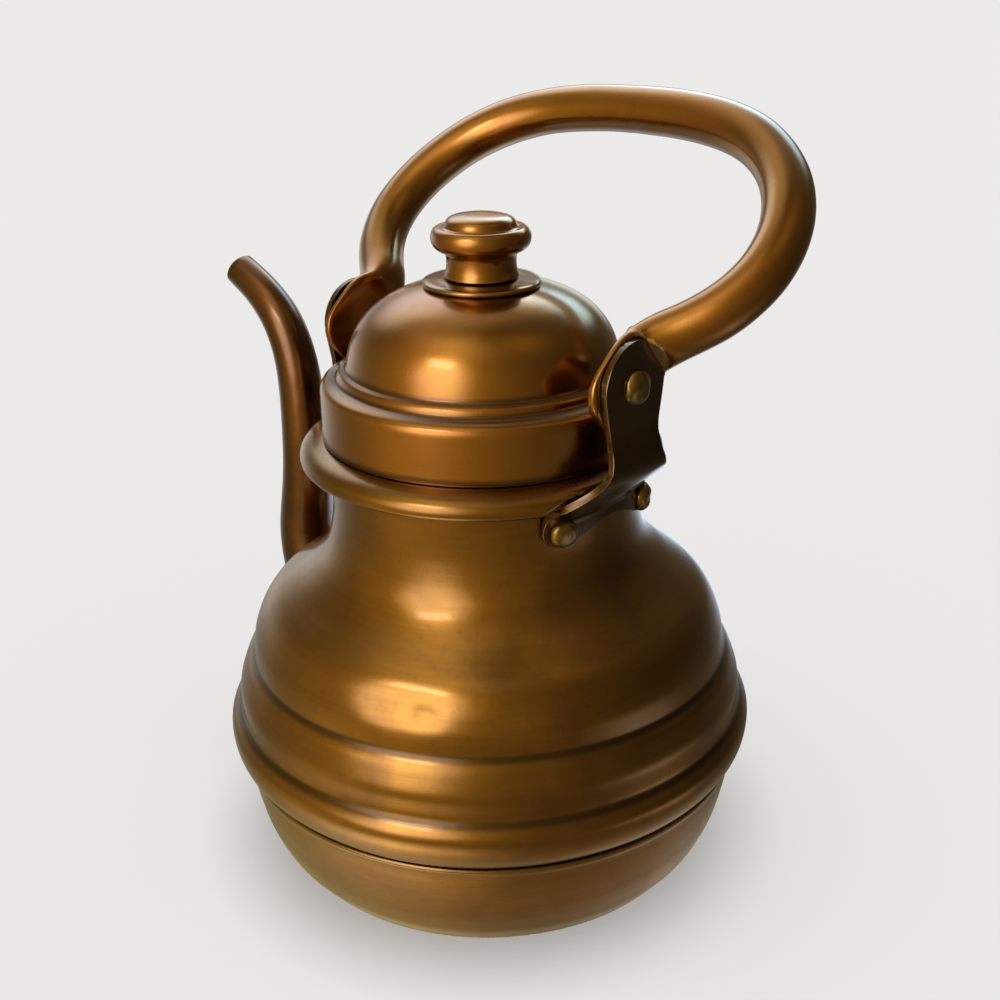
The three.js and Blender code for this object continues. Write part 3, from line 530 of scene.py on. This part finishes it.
def patinated_copper(name, bright, dull, worn, grime, grain, roughness, edge_wear, grime_and_shade_seams=()):
    """Old copper that was spun, then handled and left to brown for years.

    Patches of brown tarnish over warmer metal give it depth, fine turning marks and
    specks keep it satin, and a thin film of lacquer and grease adds a pale sheen.
    """
    material = bpy.data.materials.new(name)
    tree = cleared_tree(material)
    place = add_node(tree, "ShaderNodeTexCoord")
    patches = add_node(
        tree,
        "ShaderNodeTexNoise",
        {"Scale": 1 / (45 * MM), "Detail": 4, "Roughness": 0.6, "Distortion": 0.6},
        {"Vector": (place, "Object")},
    )
    patch_share = add_node(
        tree,
        "ShaderNodeMapRange",
        {"From Min": 0.36, "From Max": 0.68, "To Max": 0.75},
        {"Value": (patches, "Fac")},
    )
    specks = add_node(
        tree,
        "ShaderNodeTexNoise",
        {"Scale": 1 / (3.2 * MM), "Detail": 5, "Roughness": 0.7},
        {"Vector": (place, "Object")},
    )
    speck_share = add_node(
        tree,
        "ShaderNodeMapRange",
        {"From Min": 0.56, "From Max": 0.76, "To Max": grime},
        {"Value": (specks, "Fac")},
    )
    stretched = add_node(
        tree, "ShaderNodeMapping", {"Scale": grain}, {"Vector": (place, "Object")}
    )
    marks = add_node(
        tree,
        "ShaderNodeTexNoise",
        {"Scale": 1, "Detail": 3, "Roughness": 0.6},
        {"Vector": (stretched, "Vector")},
    )
    streak_share = add_node(
        tree,
        "ShaderNodeMapRange",
        {"From Min": 0.3, "From Max": 0.75, "To Max": 0.3},
        {"Value": (marks, "Fac")},
    )
    layers = [(speck_share, dull), (streak_share, dull)]
    # Creases are darkened: partly grime, and partly painted shade where the creases fall in
    # shadow.
    level = add_node(tree, "ShaderNodeSeparateXYZ", None, {"Vector": (place, "Object")})
    seam_grime_and_shade_colour = (*(0.3 * part for part in dull[:3]), 1)
    for seam in grime_and_shade_seams:
        off_seam = add_node(
            tree, "ShaderNodeMath", {"operation": "SUBTRACT", 1: seam * MM}, {0: (level, "Z")}
        )
        away = add_node(
            tree, "ShaderNodeMath", {"operation": "ABSOLUTE"}, {0: (off_seam, "Value")}
        )
        seam_grime_and_shade = add_node(
            tree,
            "ShaderNodeMapRange",
            {
                "From Min": 0.3 * MM,
                "From Max": 1.8 * MM,
                "To Min": 0.85,
                "To Max": 0,
                "interpolation_type": "SMOOTHSTEP",
            },
            {"Value": (away, "Value")},
        )
        layers.append((seam_grime_and_shade, seam_grime_and_shade_colour))
    shape = add_node(tree, "ShaderNodeNewGeometry")
    rubbed = add_node(
        tree,
        "ShaderNodeMapRange",
        {"From Min": 0.53, "From Max": 0.62, "To Max": edge_wear},
        {"Value": (shape, "Pointiness")},
    )
    layers.append((rubbed, worn))
    colour = add_node(
        tree,
        "ShaderNodeMix",
        {"data_type": "RGBA", 6: bright, 7: dull},
        {0: (patch_share, "Result")},
    )
    for share, shade in layers:
        colour = add_node(
            tree,
            "ShaderNodeMix",
            {"data_type": "RGBA", 7: shade},
            {0: (share, "Result"), 6: (colour, 2)},
        )
    dullness = add_node(
        tree,
        "ShaderNodeMapRange",
        {
            "From Min": 0.3,
            "From Max": 0.7,
            "To Min": roughness - 0.05,
            "To Max": roughness + 0.09,
        },
        {"Value": (patches, "Fac")},
    )
    mark_bump = add_node(
        tree,
        "ShaderNodeBump",
        {"Strength": 0.12, "Distance": 0.12 * MM},
        {"Height": (marks, "Fac")},
    )
    speck_bump = add_node(
        tree,
        "ShaderNodeBump",
        {"Strength": 0.18, "Distance": 0.15 * MM},
        {"Height": (specks, "Fac"), "Normal": (mark_bump, "Normal")},
    )
    shader = add_node(
        tree,
        "ShaderNodeBsdfPrincipled",
        {"Metallic": 1, "Coat Weight": 0.8, "Coat Roughness": 0.12},
        {
            "Base Color": (colour, 2),
            "Roughness": (dullness, "Result"),
            "Normal": (speck_bump, "Normal"),
        },
    )
    add_node(tree, "ShaderNodeOutputMaterial", None, {"Surface": (shader, "BSDF")})
    return material


# Marks of the work, as repeats in a metre. Turning leaves fine rings round the upright axis,
# about a millimetre apart here, coarser than real ones, so that they show. Drawing and
# beating leave a mottle of about four millimetres that runs no way.
TURNING_MARKS = (30, 30, 1 / (1.1 * MM))
DRAWING_MARKS = (1 / (4 * MM), 1 / (4 * MM), 1 / (4 * MM))

# Of each finish: its main colour, the colour of its tarnish, how much of the specks' grime
# it takes, its marks, its roughness, how much its edges are rubbed, and its creases, darkened
# with grime and painted shade.
FINISHES = {
    # Satin sheet with brown clouds, fine rings, and dark lines where two forms meet: grime and
    # painted shade.
    "spun patinated copper": ("copper", "tarnish", 0.5, TURNING_MARKS, 0.24, 0.35, BODY_GRIME_AND_SHADE_SEAMS),
    # The same sheet where hands and cloth keep it redder and smoother.
    "spun red copper": ("copper", "red_copper", 0.6, TURNING_MARKS, 0.25, 0.35, LID_GRIME_AND_SHADE_SEAMS),
    # A tube worn soft and even by hands, with a long broad shine.
    "drawn patinated copper tube": ("copper", "red_copper", 0.5, DRAWING_MARKS, 0.26, 0.3),
    # Darker and duller, as steam and heat leave a spout, and darker still as painted shade where
    # little light reaches it.
    "drawn brown copper": ("spout_copper", "dark_copper", 0.5, DRAWING_MARKS, 0.3, 0.3),
    # Thick oxide, nearly black, that nobody polishes, with a dim shine at a low angle.
    "oxidised copper strap": ("dark_copper", "tarnish", 0.4, DRAWING_MARKS, 0.34, 0.2),
    # Bare pale metal where cloth and hands rub an edge; on the brackets' edges and the bail's
    # knuckle it is also a painted highlight.
    "rubbed brass edge": ("worn_brass", "copper", 0.7, DRAWING_MARKS, 0.3, 0.5),
    # Browned yellow metal, bright on its high spots and dark where dirt stays.
    "hammered rivet brass": ("rivet_brass", "dark_copper", 0.8, DRAWING_MARKS, 0.3, 0.6),
}


def finish(name):
    """Makes a finish the first time that it is asked for."""
    made = bpy.data.materials.get(name)
    if made:
        return made
    colours = bpy.context.scene.kettle_colours
    bright, dull, *rest = FINISHES[name]
    return patinated_copper(
        name, getattr(colours, bright), getattr(colours, dull), colours.worn_brass, *rest
    )


def above_table(place, normal):
    """Nothing of the pan sinks below the table."""
    return Vector((place.x, place.y, max(place.z, 0)))


class KETTLE_OT_pan(bpy.types.Operator):
    """Bottom pan with its flared wall, proud bead and inner rim"""

    bl_idname = "kettle.pan"
    bl_label = "Bottom pan"

    def execute(self, context):
        sizes = context.scene.kettle_sizes
        pan = turned("bottom_pan_spun", PAN_OUTLINE, sizes.body_segments)
        make_uneven(pan, "pan")
        move_points(pan, above_table)
        apply_modifier(pan, "SOLIDIFY", thickness=sizes.sheet, offset=-1, use_even_offset=True)
        coat(pan, "spun patinated copper")
        place_piece(pan, "vessel", "bottom_pan")
        return {"FINISHED"}


def dented(place, normal):
    """The knock in the belly: a shallow hollow with a sharper crease at its right end."""
    azimuth = math.degrees(math.atan2(place.y, place.x))
    radius = math.hypot(place.x, place.y) / MM
    sink = 0
    for middle, height, across, tall, share in BELLY_KNOCKS:
        aside = math.radians(azimuth - middle) * radius / across
        up = (place.z / MM - height) / tall
        sink += share * math.exp(-(aside**2) - up**2)
    return place - normal * (bpy.context.scene.kettle_sizes.dent_depth * sink)


def settled(place, normal):
    """Years of use: the shoulder stands fuller on one side and flatter on the other."""
    azimuth = math.degrees(math.atan2(place.y, place.x))
    up = place.z / MM
    swell = 0
    for middle, height, across, tall, amount in SHOULDER_SWELLS:
        aside = (azimuth - middle + 180) % 360 - 180
        swell += amount * math.exp(-((aside / across) ** 2) - ((up - height) / tall) ** 2)
    return place + normal * (swell * MM)


class KETTLE_OT_body(bpy.types.Operator):
    """Body shell: two ridges, a belly, a cove and the neck, with a dent in the belly"""

    bl_idname = "kettle.body"
    bl_label = "Body shell"

    def execute(self, context):
        sizes = context.scene.kettle_sizes
        body = turned("body_shell_spun", BODY_OUTLINE, sizes.body_segments, step=1.1)
        move_points(body, settled)
        move_points(body, dented)
        make_uneven(body, "body")
        apply_modifier(body, "SOLIDIFY", thickness=sizes.sheet, offset=-1, use_even_offset=True)
        bore = drawn_out("spout_bore", spout_rings(sizes.tube_sides, sizes.sheet, BORE_END))
        close_ends(bore)
        apply_modifier(body, "BOOLEAN", operation="DIFFERENCE", object=bore, solver="EXACT")
        bpy.data.objects.remove(bore)
        coat(body, "spun patinated copper")
        place_piece(body, "vessel", "body_shell")
        return {"FINISHED"}


BRACKET_PATH = smooth_line(BRACKET_LINE, 0.5)
BRACKET_SIDE = smooth_line(BRACKET_EDGE, 0.4)


def bracket_half_width(height):
    """Half the bracket's width at a height below its head."""
    return float(np.interp(height, BRACKET_SIDE[:, 0], BRACKET_SIDE[:, 1]))


def bracket_curl(out, up):
    """How strongly the sheet curves round the neck: fully in the wings, flat above the bend."""
    wing = BRACKET_LINE[0][0]
    bend, bend_height = BRACKET_LINE[BRACKET_BEND]
    return share_of(out, bend, wing + WING_REACH) / wing if up < bend_height else 0


def pressed_in(place, normal):
    """The ring's lip gives way to each bracket, and is knocked in a little beside the rear one."""
    ring_bore, lip = RING_OUTLINE[0][0] * MM, RING_OUTLINE[RING_LIP][0] * MM
    radius = math.hypot(place.x, place.y)
    azimuth = math.degrees(math.atan2(place.y, place.x))
    starts, full, fades, ends = RING_KNOCK_SPAN
    beside = share_of(azimuth, starts, full) * share_of(azimuth, ends, fades)
    outward = max((radius - ring_bore) / (lip - ring_bore), 0)
    radius_now = radius - RING_KNOCK * MM * outward * beside**2 * (3 - 2 * beside)
    place = place.copy()
    place.x *= radius_now / radius
    place.y *= radius_now / radius
    up = place.z / MM
    out = float(np.interp(up, BRACKET_PATH[:, 1], BRACKET_PATH[:, 0]))
    curl = bracket_curl(out, up)
    aside = abs(place.y) / MM
    inward = (1 - math.sqrt(max(1 - (aside * curl) ** 2, 0))) / curl if curl > 0 else 0
    behind = out - inward - RING_CLEARANCE
    reach, recovery = RING_GIVE
    edge = bracket_half_width(up) + reach
    give = share_of(aside, edge + recovery, edge)
    over = abs(place.x) / MM - behind
    if over > 0 and give > 0:
        sunk = abs(place.x) - over * MM * give**2 * (3 - 2 * give)
        place.x = math.copysign(max(sunk, ring_bore * RING_DEEPEST), place.x)
    return place


class KETTLE_OT_ring(bpy.types.Operator):
    """Mouth ring: rounded top and turned-down lip"""

    bl_idname = "kettle.ring"
    bl_label = "Mouth ring"

    def execute(self, context):
        sizes = context.scene.kettle_sizes
        ring = turned("mouth_ring_spun", RING_OUTLINE, sizes.body_segments, step=0.8)
        move_points(ring, pressed_in)
        make_uneven(ring, "ring")
        apply_modifier(
            ring, "SOLIDIFY", thickness=RING_SHEET * MM, offset=-1, use_even_offset=False
        )
        coat(ring, "spun patinated copper")
        place_piece(ring, "vessel", "mouth_ring")
        return {"FINISHED"}


class KETTLE_OT_lid(bpy.types.Operator):
    """Lid with its skirt, shoulder, groove and dome, the knob plate and the knob"""

    bl_idname = "kettle.lid"
    bl_label = "Lid and knob"

    def execute(self, context):
        sizes = context.scene.kettle_sizes
        lid = turned("lid_shell_spun", LID_OUTLINE, sizes.body_segments, step=1.2)
        make_uneven(lid, "lid")
        apply_modifier(lid, "SOLIDIFY", thickness=sizes.lid_sheet, offset=-1, use_even_offset=True)
        coat(lid, "spun red copper")
        place_piece(lid, "lid", "lid_shell")
        plate = turned("knob_plate_spun", PLATE_OUTLINE, sizes.small_segments, 1, closes=True)
        make_uneven(plate, "plate")
        coat(plate, "spun patinated copper")
        place_piece(plate, "lid", "knob_plate")
        knob = turned("lid_knob_cast", KNOB_OUTLINE, sizes.small_segments, step=0.7)
        make_uneven(knob, "knob")
        coat(knob, "spun red copper")
        place_piece(knob, "lid", "lid_knob")
        coat(frame["nodes"]["knob_washer"], "oxidised copper strap")
        return {"FINISHED"}


def spout_rings(sides, depth, last=None):
    """Rings round the spout's centre line, a depth inside its outer face, up to a last point."""
    line = smooth_line(SPOUT_LINE, 3)
    if last is not None:
        line = line[: int(len(line) * last / len(SPOUT_LINE))]
    directions = np.gradient(line[:, :2], axis=0)
    rings = []
    for (out, up, radius), (along_out, along_up) in zip(line, directions):
        length = math.hypot(along_out, along_up)
        ring = []
        for i in range(sides):
            angle = 2 * math.pi * i / sides
            aside = (radius * MM - depth) * math.cos(angle)
            across = (radius * MM - depth) * math.sin(angle)
            x = -out * MM - aside * along_up / length
            z = up * MM - aside * along_out / length
            ring.append(Vector((x, across, z)))
        rings.append(ring)
    return rings


def close_ends(piece, joined=False):
    """Fills the open ends of a tube, or joins those of a skin that went out and came back."""
    leave_only(piece)
    bpy.ops.object.mode_set(mode="EDIT")
    bpy.ops.mesh.select_all(action="DESELECT")
    bpy.ops.mesh.select_mode(type="EDGE")
    bpy.ops.mesh.select_non_manifold()
    if joined:
        bpy.ops.mesh.bridge_edge_loops()
    else:
        bpy.ops.mesh.fill_holes(sides=0)
    bpy.ops.mesh.select_all(action="SELECT")
    bpy.ops.mesh.normals_make_consistent(inside=False)
    bpy.ops.mesh.select_mode(type="VERT")
    bpy.ops.object.mode_set(mode="OBJECT")


class KETTLE_OT_spout(bpy.types.Operator):
    """Hollow swan-neck spout whose foot follows the body"""

    bl_idname = "kettle.spout"
    bl_label = "Spout"

    def execute(self, context):
        sizes = context.scene.kettle_sizes
        outer = spout_rings(sizes.tube_sides, 0)
        inner = spout_rings(sizes.tube_sides, sizes.sheet)
        spout = drawn_out("spout_drawn", outer + inner[::-1])
        close_ends(spout, joined=True)
        wall = BODY_OUTLINE[1 : BODY_CORE_END + 1]
        core_outline = [(0, BODY_OUTLINE[0][1]), *wall, (0, wall[-1][1])]
        core = turned("body_core", core_outline, sizes.body_segments)
        apply_modifier(spout, "BOOLEAN", operation="DIFFERENCE", object=core, solver="EXACT")
        bpy.data.objects.remove(core)
        round_edges(spout, SPOUT_EDGE * MM)
        make_uneven(spout, "spout")
        coat(spout, "drawn brown copper")
        place_piece(spout, "vessel", "spout")
        return {"FINISHED"}


def bail_ring(place, direction, sides):
    """A ring of points across the bail: a circle, or pressed flat towards its ends."""
    out, up, thin, wide, flat = place
    power = 2 / (2 + BAIL_SQUARENESS * flat)
    ring = []
    for i in range(sides):
        angle = 2 * math.pi * i / sides
        cosine = math.cos(angle)
        sine = math.sin(angle)
        aside = math.copysign(abs(cosine) ** power, cosine) * thin
        along = math.copysign(abs(sine) ** power, sine) * wide
        x = out + aside * direction[1]
        z = up - aside * direction[0]
        ring.append(Vector((x * MM, along * MM, z * MM)))
    return ring


class KETTLE_OT_bail(bpy.types.Operator):
    """Bail handle: one tube, pressed flat at both ends, leaning as it stands at rest"""

    bl_idname = "kettle.bail"
    bl_label = "Bail handle"

    def execute(self, context):
        sizes = context.scene.kettle_sizes
        half = smooth_line(BAIL_LINE, 2.2)
        far = half[-2::-1] * np.array([-1, 1, 1, 1, 1])
        beyond = np.minimum(far[:, 0] + half[0, 0], 0)
        far[:, 0] -= beyond * (1 - FAR_LEG_LEAN)
        line = np.vstack([half, far])
        steps = np.gradient(line[:, :2], axis=0)
        steps /= np.linalg.norm(steps, axis=1)[:, None]
        rings = [
            bail_ring(place, direction, sizes.tube_sides)
            for place, direction in zip(line, steps)
        ]
        bail = drawn_out("bail_handle_bent", rings)
        close_ends(bail)
        make_uneven(bail, "bail")
        coat(bail, "drawn patinated copper tube", "rubbed brass edge")
        # The band round the knuckle's crease takes the bright finish: rubbed metal and a painted
        # highlight.
        low, high, out = KNUCKLE_RUB_AND_HIGHLIGHT
        for polygon in bail.data.polygons:
            middle = polygon.center / MM
            polygon.material_index = int(low < middle.z < high and abs(middle.x) > out)
        stand(bail, (-BAIL_TILT, 0, 0), Vector(joints["bail_swing"]["pos_m"]))
        place_piece(bail, "bail", "bail_handle")
        return {"FINISHED"}


def bracket_places(rows, columns):
    """Where the points of the bracket's sheet go: row by row from the wings to the head."""
    line = BRACKET_PATH
    lengths = np.concatenate([[0], np.cumsum(np.linalg.norm(np.diff(line, axis=0), axis=1))])
    head_rows = rows // 4
    stem_rows = rows - head_rows
    places = []
    for row in range(rows + 1):
        if row <= stem_rows:
            share = row / stem_rows
            at = lengths[-1] * share**BRACKET_CROWDING
            out = np.interp(at, lengths, line[:, 0])
            up = np.interp(at, lengths, line[:, 1])
            head = None
        else:
            out, up = line[-1]
            head = (row - stem_rows) / head_rows
        curl = bracket_curl(out, up)
        wing_foot = BRACKET_LINE[0][1]
        lift = max(1 - (up - wing_foot) / (WING_TOP - wing_foot), 0) * WING_ARCH
        half = bracket_half_width(up) if head is None else BRACKET_HEAD
        for column in range(columns + 1):
            across = 2 * column / columns - 1
            if head is not None:
                aside = BRACKET_HEAD * across * math.sqrt(1 - head**2 / 2)
                rise = BRACKET_HEAD * head * math.sqrt(1 - across**2 / 2)
                places.append((out, aside, up + rise))
                continue
            turn = curl * across * half
            aside = math.sin(turn) / curl if curl > 0 else across * half
            inward = (1 - math.cos(turn)) / curl if curl > 0 else 0
            skew = np.interp(up, *np.transpose(BRACKET_SKEW))
            places.append((out - inward, aside + skew, up + lift * (1 - across**2) ** 2))
    return places


class KETTLE_OT_brackets(bpy.types.Operator):
    """The two bail brackets: a bent sheet strap with wings round the neck"""

    bl_idname = "kettle.brackets"
    bl_label = "Bail brackets"

    def execute(self, context):
        sizes = context.scene.kettle_sizes
        columns, rows = BRACKET_GRID
        bpy.ops.object.select_all(action="DESELECT")
        bpy.ops.mesh.primitive_grid_add(x_subdivisions=columns, y_subdivisions=rows, size=1)
        strap = bpy.context.object
        strap.name = strap.data.name = "rear_bracket_forged"
        places = bracket_places(rows, columns)
        for vertex in strap.data.vertices:
            column = round((vertex.co.x + 0.5) * columns)
            row = round((vertex.co.y + 0.5) * rows)
            vertex.co = Vector(places[row * (columns + 1) + column]) * MM
        leave_only(strap)
        bpy.ops.object.mode_set(mode="EDIT")
        bpy.ops.mesh.select_all(action="SELECT")
        bpy.ops.mesh.normals_make_consistent(inside=False)
        bpy.ops.object.mode_set(mode="OBJECT")
        middle = strap.data.polygons[len(strap.data.polygons) // 2]
        if middle.normal.x < 0:
            strap.data.flip_normals()
        apply_modifier(
            strap, "SOLIDIFY", thickness=sizes.bracket_sheet, offset=-1, use_even_offset=False
        )
        coat(strap, "oxidised copper strap", "rubbed brass edge")
        # The bevelled edges take the bright finish: rubbed metal and a painted edge highlight.
        round_edges(strap, STRAP_EDGE * MM, segments=3, limit=60, material=1)
        make_uneven(strap, "strap")
        other = strap.copy()
        other.data = strap.data.copy()
        other.name = other.data.name = "front_bracket_forged"
        bpy.context.collection.objects.link(other)
        stand(other, (0, 0, math.pi))
        place_piece(strap, "vessel", "rear_bracket")
        place_piece(other, "vessel", "front_bracket")
        return {"FINISHED"}


def hammer(rivet, seed):
    """Hammer work on a rivet: flats and lumps where the blows fell."""
    depth, width = (measure * MM for measure in HAMMER_MARKS)
    fine_depth, fine_width = FINE_MARKS

    def mover(place, normal):
        broad = noise.noise(place / width + Vector((seed, seed, 0)))
        fine = noise.noise(place / (width * fine_width) + Vector((0, seed, seed)))
        return place + normal * (depth * (broad + fine_depth * fine))

    move_points(rivet, mover)


class KETTLE_OT_rivets(bpy.types.Operator):
    """Hammered heads of the foot rivets and the pivot rivets"""

    bl_idname = "kettle.rivets"
    bl_label = "Rivets"

    def execute(self, context):
        for node in frame["nodes"]:
            if "rivet" not in node:
                continue
            low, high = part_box(node)
            middle = (low + high) / 2
            if "foot" in node:
                angle = math.atan2(middle.y, middle.x)
            else:
                angle = 0 if node.startswith("rear") else math.pi
            head, tall, grip, out = RIVET_SIZES["foot" if "foot" in node else "pivot"]
            outline = [
                (radius * head, rise * (tall if rise > 0 else grip))
                for radius, rise in RIVET_OUTLINE
            ]
            rivet = turned(node + "_hammered", outline, RIVET_SEGMENTS, step=0.35)
            hammer(rivet, len(node) + angle * 3)
            face = (out * MM * math.cos(angle), out * MM * math.sin(angle), middle.z)
            stand(rivet, (0, math.pi / 2, angle), face)
            coat(rivet, "hammered rivet brass")
            place_piece(rivet, "vessel", node)
        return {"FINISHED"}


class KETTLE_OT_stage(bpy.types.Operator):
    """Pale floor, light tent with soft lamps, and the camera"""

    bl_idname = "kettle.stage"
    bl_label = "Stage"

    def execute(self, context):
        colours = context.scene.kettle_colours
        make_floor(colours.floor)
        make_world(colours.floor)
        make_tent()
        make_lamps()
        make_camera()
        return {"FINISHED"}


def make_floor(colour):
    """A round pale floor that fades out into the background."""
    bpy.ops.object.select_all(action="DESELECT")
    bpy.ops.mesh.primitive_circle_add(vertices=96, radius=FLOOR_RADIUS, fill_type="NGON")
    floor = bpy.context.object
    floor.name = floor.data.name = "floor"
    material = bpy.data.materials.new("matt pale paper")
    tree = cleared_tree(material)
    place = add_node(tree, "ShaderNodeTexCoord")
    reach = add_node(tree, "ShaderNodeVectorMath", {"operation": "LENGTH"}, {0: (place, "Object")})
    # Even near the kettle it is partly clear, which softens the shadow.
    fade_starts, fade_ends = FLOOR_FADE
    fade = add_node(
        tree,
        "ShaderNodeMapRange",
        {
            "From Min": fade_starts,
            "From Max": fade_ends,
            "To Min": 0.4,
            "interpolation_type": "SMOOTHSTEP",
        },
        {"Value": (reach, "Value")},
    )
    paper = add_node(tree, "ShaderNodeBsdfDiffuse", {"Color": colour})
    clear = add_node(tree, "ShaderNodeBsdfTransparent")
    mixed = add_node(
        tree,
        "ShaderNodeMixShader",
        None,
        {0: (fade, "Result"), 1: (paper, "BSDF"), 2: (clear, "BSDF")},
    )
    add_node(tree, "ShaderNodeOutputMaterial", None, {"Surface": (mixed, "Shader")})
    floor.data.materials.append(material)
    floor.visible_glossy = False


def make_world(colour):
    """An even room: the camera and the metal see the pale background, the rest less light."""
    world = bpy.data.worlds.new("pale studio")
    bpy.context.scene.world = world
    tree = cleared_tree(world)
    ray = add_node(tree, "ShaderNodeLightPath")
    seen = (ray, "Is Camera Ray")
    for kind in ("Is Glossy Ray", "Is Transmission Ray"):
        either = add_node(
            tree, "ShaderNodeMath", {"operation": "MAXIMUM"}, {0: seen, 1: (ray, kind)}
        )
        seen = (either, "Value")
    pale = add_node(tree, "ShaderNodeBackground", {"Color": colour, "Strength": 1})
    room = add_node(tree, "ShaderNodeBackground", {"Color": colour, "Strength": 0.5})
    mixed = add_node(
        tree,
        "ShaderNodeMixShader",
        None,
        {0: seen, 1: (room, "Background"), 2: (pale, "Background")},
    )
    add_node(tree, "ShaderNodeOutputWorld", None, {"Surface": (mixed, "Shader")})


def tent_colour(place):
    """How bright the tent is in the direction of a place on it."""
    flat = math.hypot(place.x, place.y)
    azimuth = math.degrees(math.atan2(place.y, place.x))
    elevation = math.degrees(math.atan2(place.z - TENT_MIDDLE, flat))
    colour = Vector(TENT_DUSK)
    for middle, height, wide, tall, edge, glow in TENT_GLOWS:
        aside = (azimuth - middle + 180) % 360 - 180
        away = (aside / wide) ** 2 + ((elevation - height) / tall) ** 2
        share = math.exp(-(away**edge))
        colour += Vector(glow) * share
    return (*colour, 1)


def make_tent():
    """A light tent that only reflections show: bright on one side, dim on the other."""
    bpy.ops.object.select_all(action="DESELECT")
    bpy.ops.mesh.primitive_uv_sphere_add(segments=144, ring_count=96, radius=TENT_RADIUS)
    tent = bpy.context.object
    tent.name = tent.data.name = "light tent"
    glow = tent.data.color_attributes.new("glow", "FLOAT_COLOR", "POINT")
    for vertex, shade in zip(tent.data.vertices, glow.data):
        vertex.co.z = max(vertex.co.z + TENT_MIDDLE, TENT_FLOOR)
        shade.color = tent_colour(vertex.co)
    material = bpy.data.materials.new("lit cloth")
    tree = cleared_tree(material)
    cloth = add_node(tree, "ShaderNodeAttribute", {"attribute_name": "glow"})
    light = add_node(tree, "ShaderNodeEmission", None, {"Color": (cloth, "Color")})
    add_node(tree, "ShaderNodeOutputMaterial", None, {"Surface": (light, "Emission")})
    tent.data.materials.append(material)
    for ray in ("camera", "diffuse", "shadow", "transmission", "volume_scatter"):
        setattr(tent, "visible_" + ray, False)


def make_lamps():
    """A soft key for the metal, and an even light from above that only the floor takes."""
    place = Vector((0.04, -0.62, 0.66))
    bpy.ops.object.select_all(action="DESELECT")
    bpy.ops.object.light_add(type="AREA", location=place)
    key = bpy.context.object
    key.name = key.data.name = "key softbox"
    key.data.shape = "RECTANGLE"
    key.data.size, key.data.size_y = 0.28, 0.14
    key.data.energy = 0.5
    key.visible_diffuse = False
    away = Vector((0, 0, 0.12)) - place
    key.rotation_euler = away.to_track_quat("-Z", "Y").to_euler()
    bpy.ops.object.select_all(action="DESELECT")
    bpy.ops.object.light_add(type="SUN", location=(0, 0, 1))
    overhead = bpy.context.object
    overhead.name = overhead.data.name = "overhead light"
    overhead.data.energy = 1.8
    overhead.data.angle = math.radians(40)
    overhead.visible_glossy = False


def make_camera():
    """The photograph's camera, found from the edges of the turned body."""
    data = bpy.data.cameras.new("camera")
    camera = bpy.data.objects.new("camera", data)
    bpy.context.collection.objects.link(camera)
    turn, down, roll = map(math.radians, (CAMERA_TURN, CAMERA_DOWN, CAMERA_ROLL))
    right = Vector((math.cos(turn), math.sin(turn), 0))
    ahead = Vector(
        (-math.sin(turn) * math.cos(down), math.cos(turn) * math.cos(down), -math.sin(down))
    )
    up = right.cross(ahead)
    target = Vector((0, 0, CAMERA_HEIGHT)) + right * CAMERA_ASIDE
    place = (target - ahead * CAMERA_DISTANCE) * MM
    turned_right = right * math.cos(roll) + up * math.sin(roll)
    turned_up = -right * math.sin(roll) + up * math.cos(roll)
    matrix = camera.matrix_world.copy()
    for column, values in enumerate((turned_right, turned_up, -ahead, place)):
        for row in range(3):
            matrix[row][column] = values[row]
    camera.matrix_world = matrix
    data.sensor_width = CAMERA_FRAME
    data.lens = CAMERA_LENS
    data.clip_start = 0.01
    bpy.context.scene.camera = camera
    bpy.context.scene.view_settings.view_transform = "Standard"


STEPS = ("stage", "pan", "body", "ring", "spout", "brackets", "rivets", "bail", "lid")


class KETTLE_PT_panel(bpy.types.Panel):
    bl_idname = "KETTLE_PT_panel"
    bl_label = "Copper Tea Kettle"
    bl_space_type = "VIEW_3D"
    bl_region_type = "UI"
    bl_category = "Kettle"

    def draw(self, context):
        for step in STEPS:
            self.layout.operator("kettle." + step)
        for group in (context.scene.kettle_sizes, context.scene.kettle_colours):
            for key in group.__annotations__:
                self.layout.prop(group, key)


CLASSES = (
    KettleSizes,
    KettleColours,
    KETTLE_OT_stage,
    KETTLE_OT_pan,
    KETTLE_OT_body,
    KETTLE_OT_ring,
    KETTLE_OT_spout,
    KETTLE_OT_brackets,
    KETTLE_OT_rivets,
    KETTLE_OT_bail,
    KETTLE_OT_lid,
    KETTLE_PT_panel,
)


def register():
    for each in CLASSES:
        bpy.utils.register_class(each)
    bpy.types.Scene.kettle_sizes = bpy.props.PointerProperty(type=KettleSizes)
    bpy.types.Scene.kettle_colours = bpy.props.PointerProperty(type=KettleColours)


def unregister():
    del bpy.types.Scene.kettle_colours
    del bpy.types.Scene.kettle_sizes
    for each in reversed(CLASSES):
        bpy.utils.unregister_class(each)


def main():
    register()
    for step in STEPS:
        getattr(bpy.ops.kettle, step)()


if __name__ == "__main__":
    main()
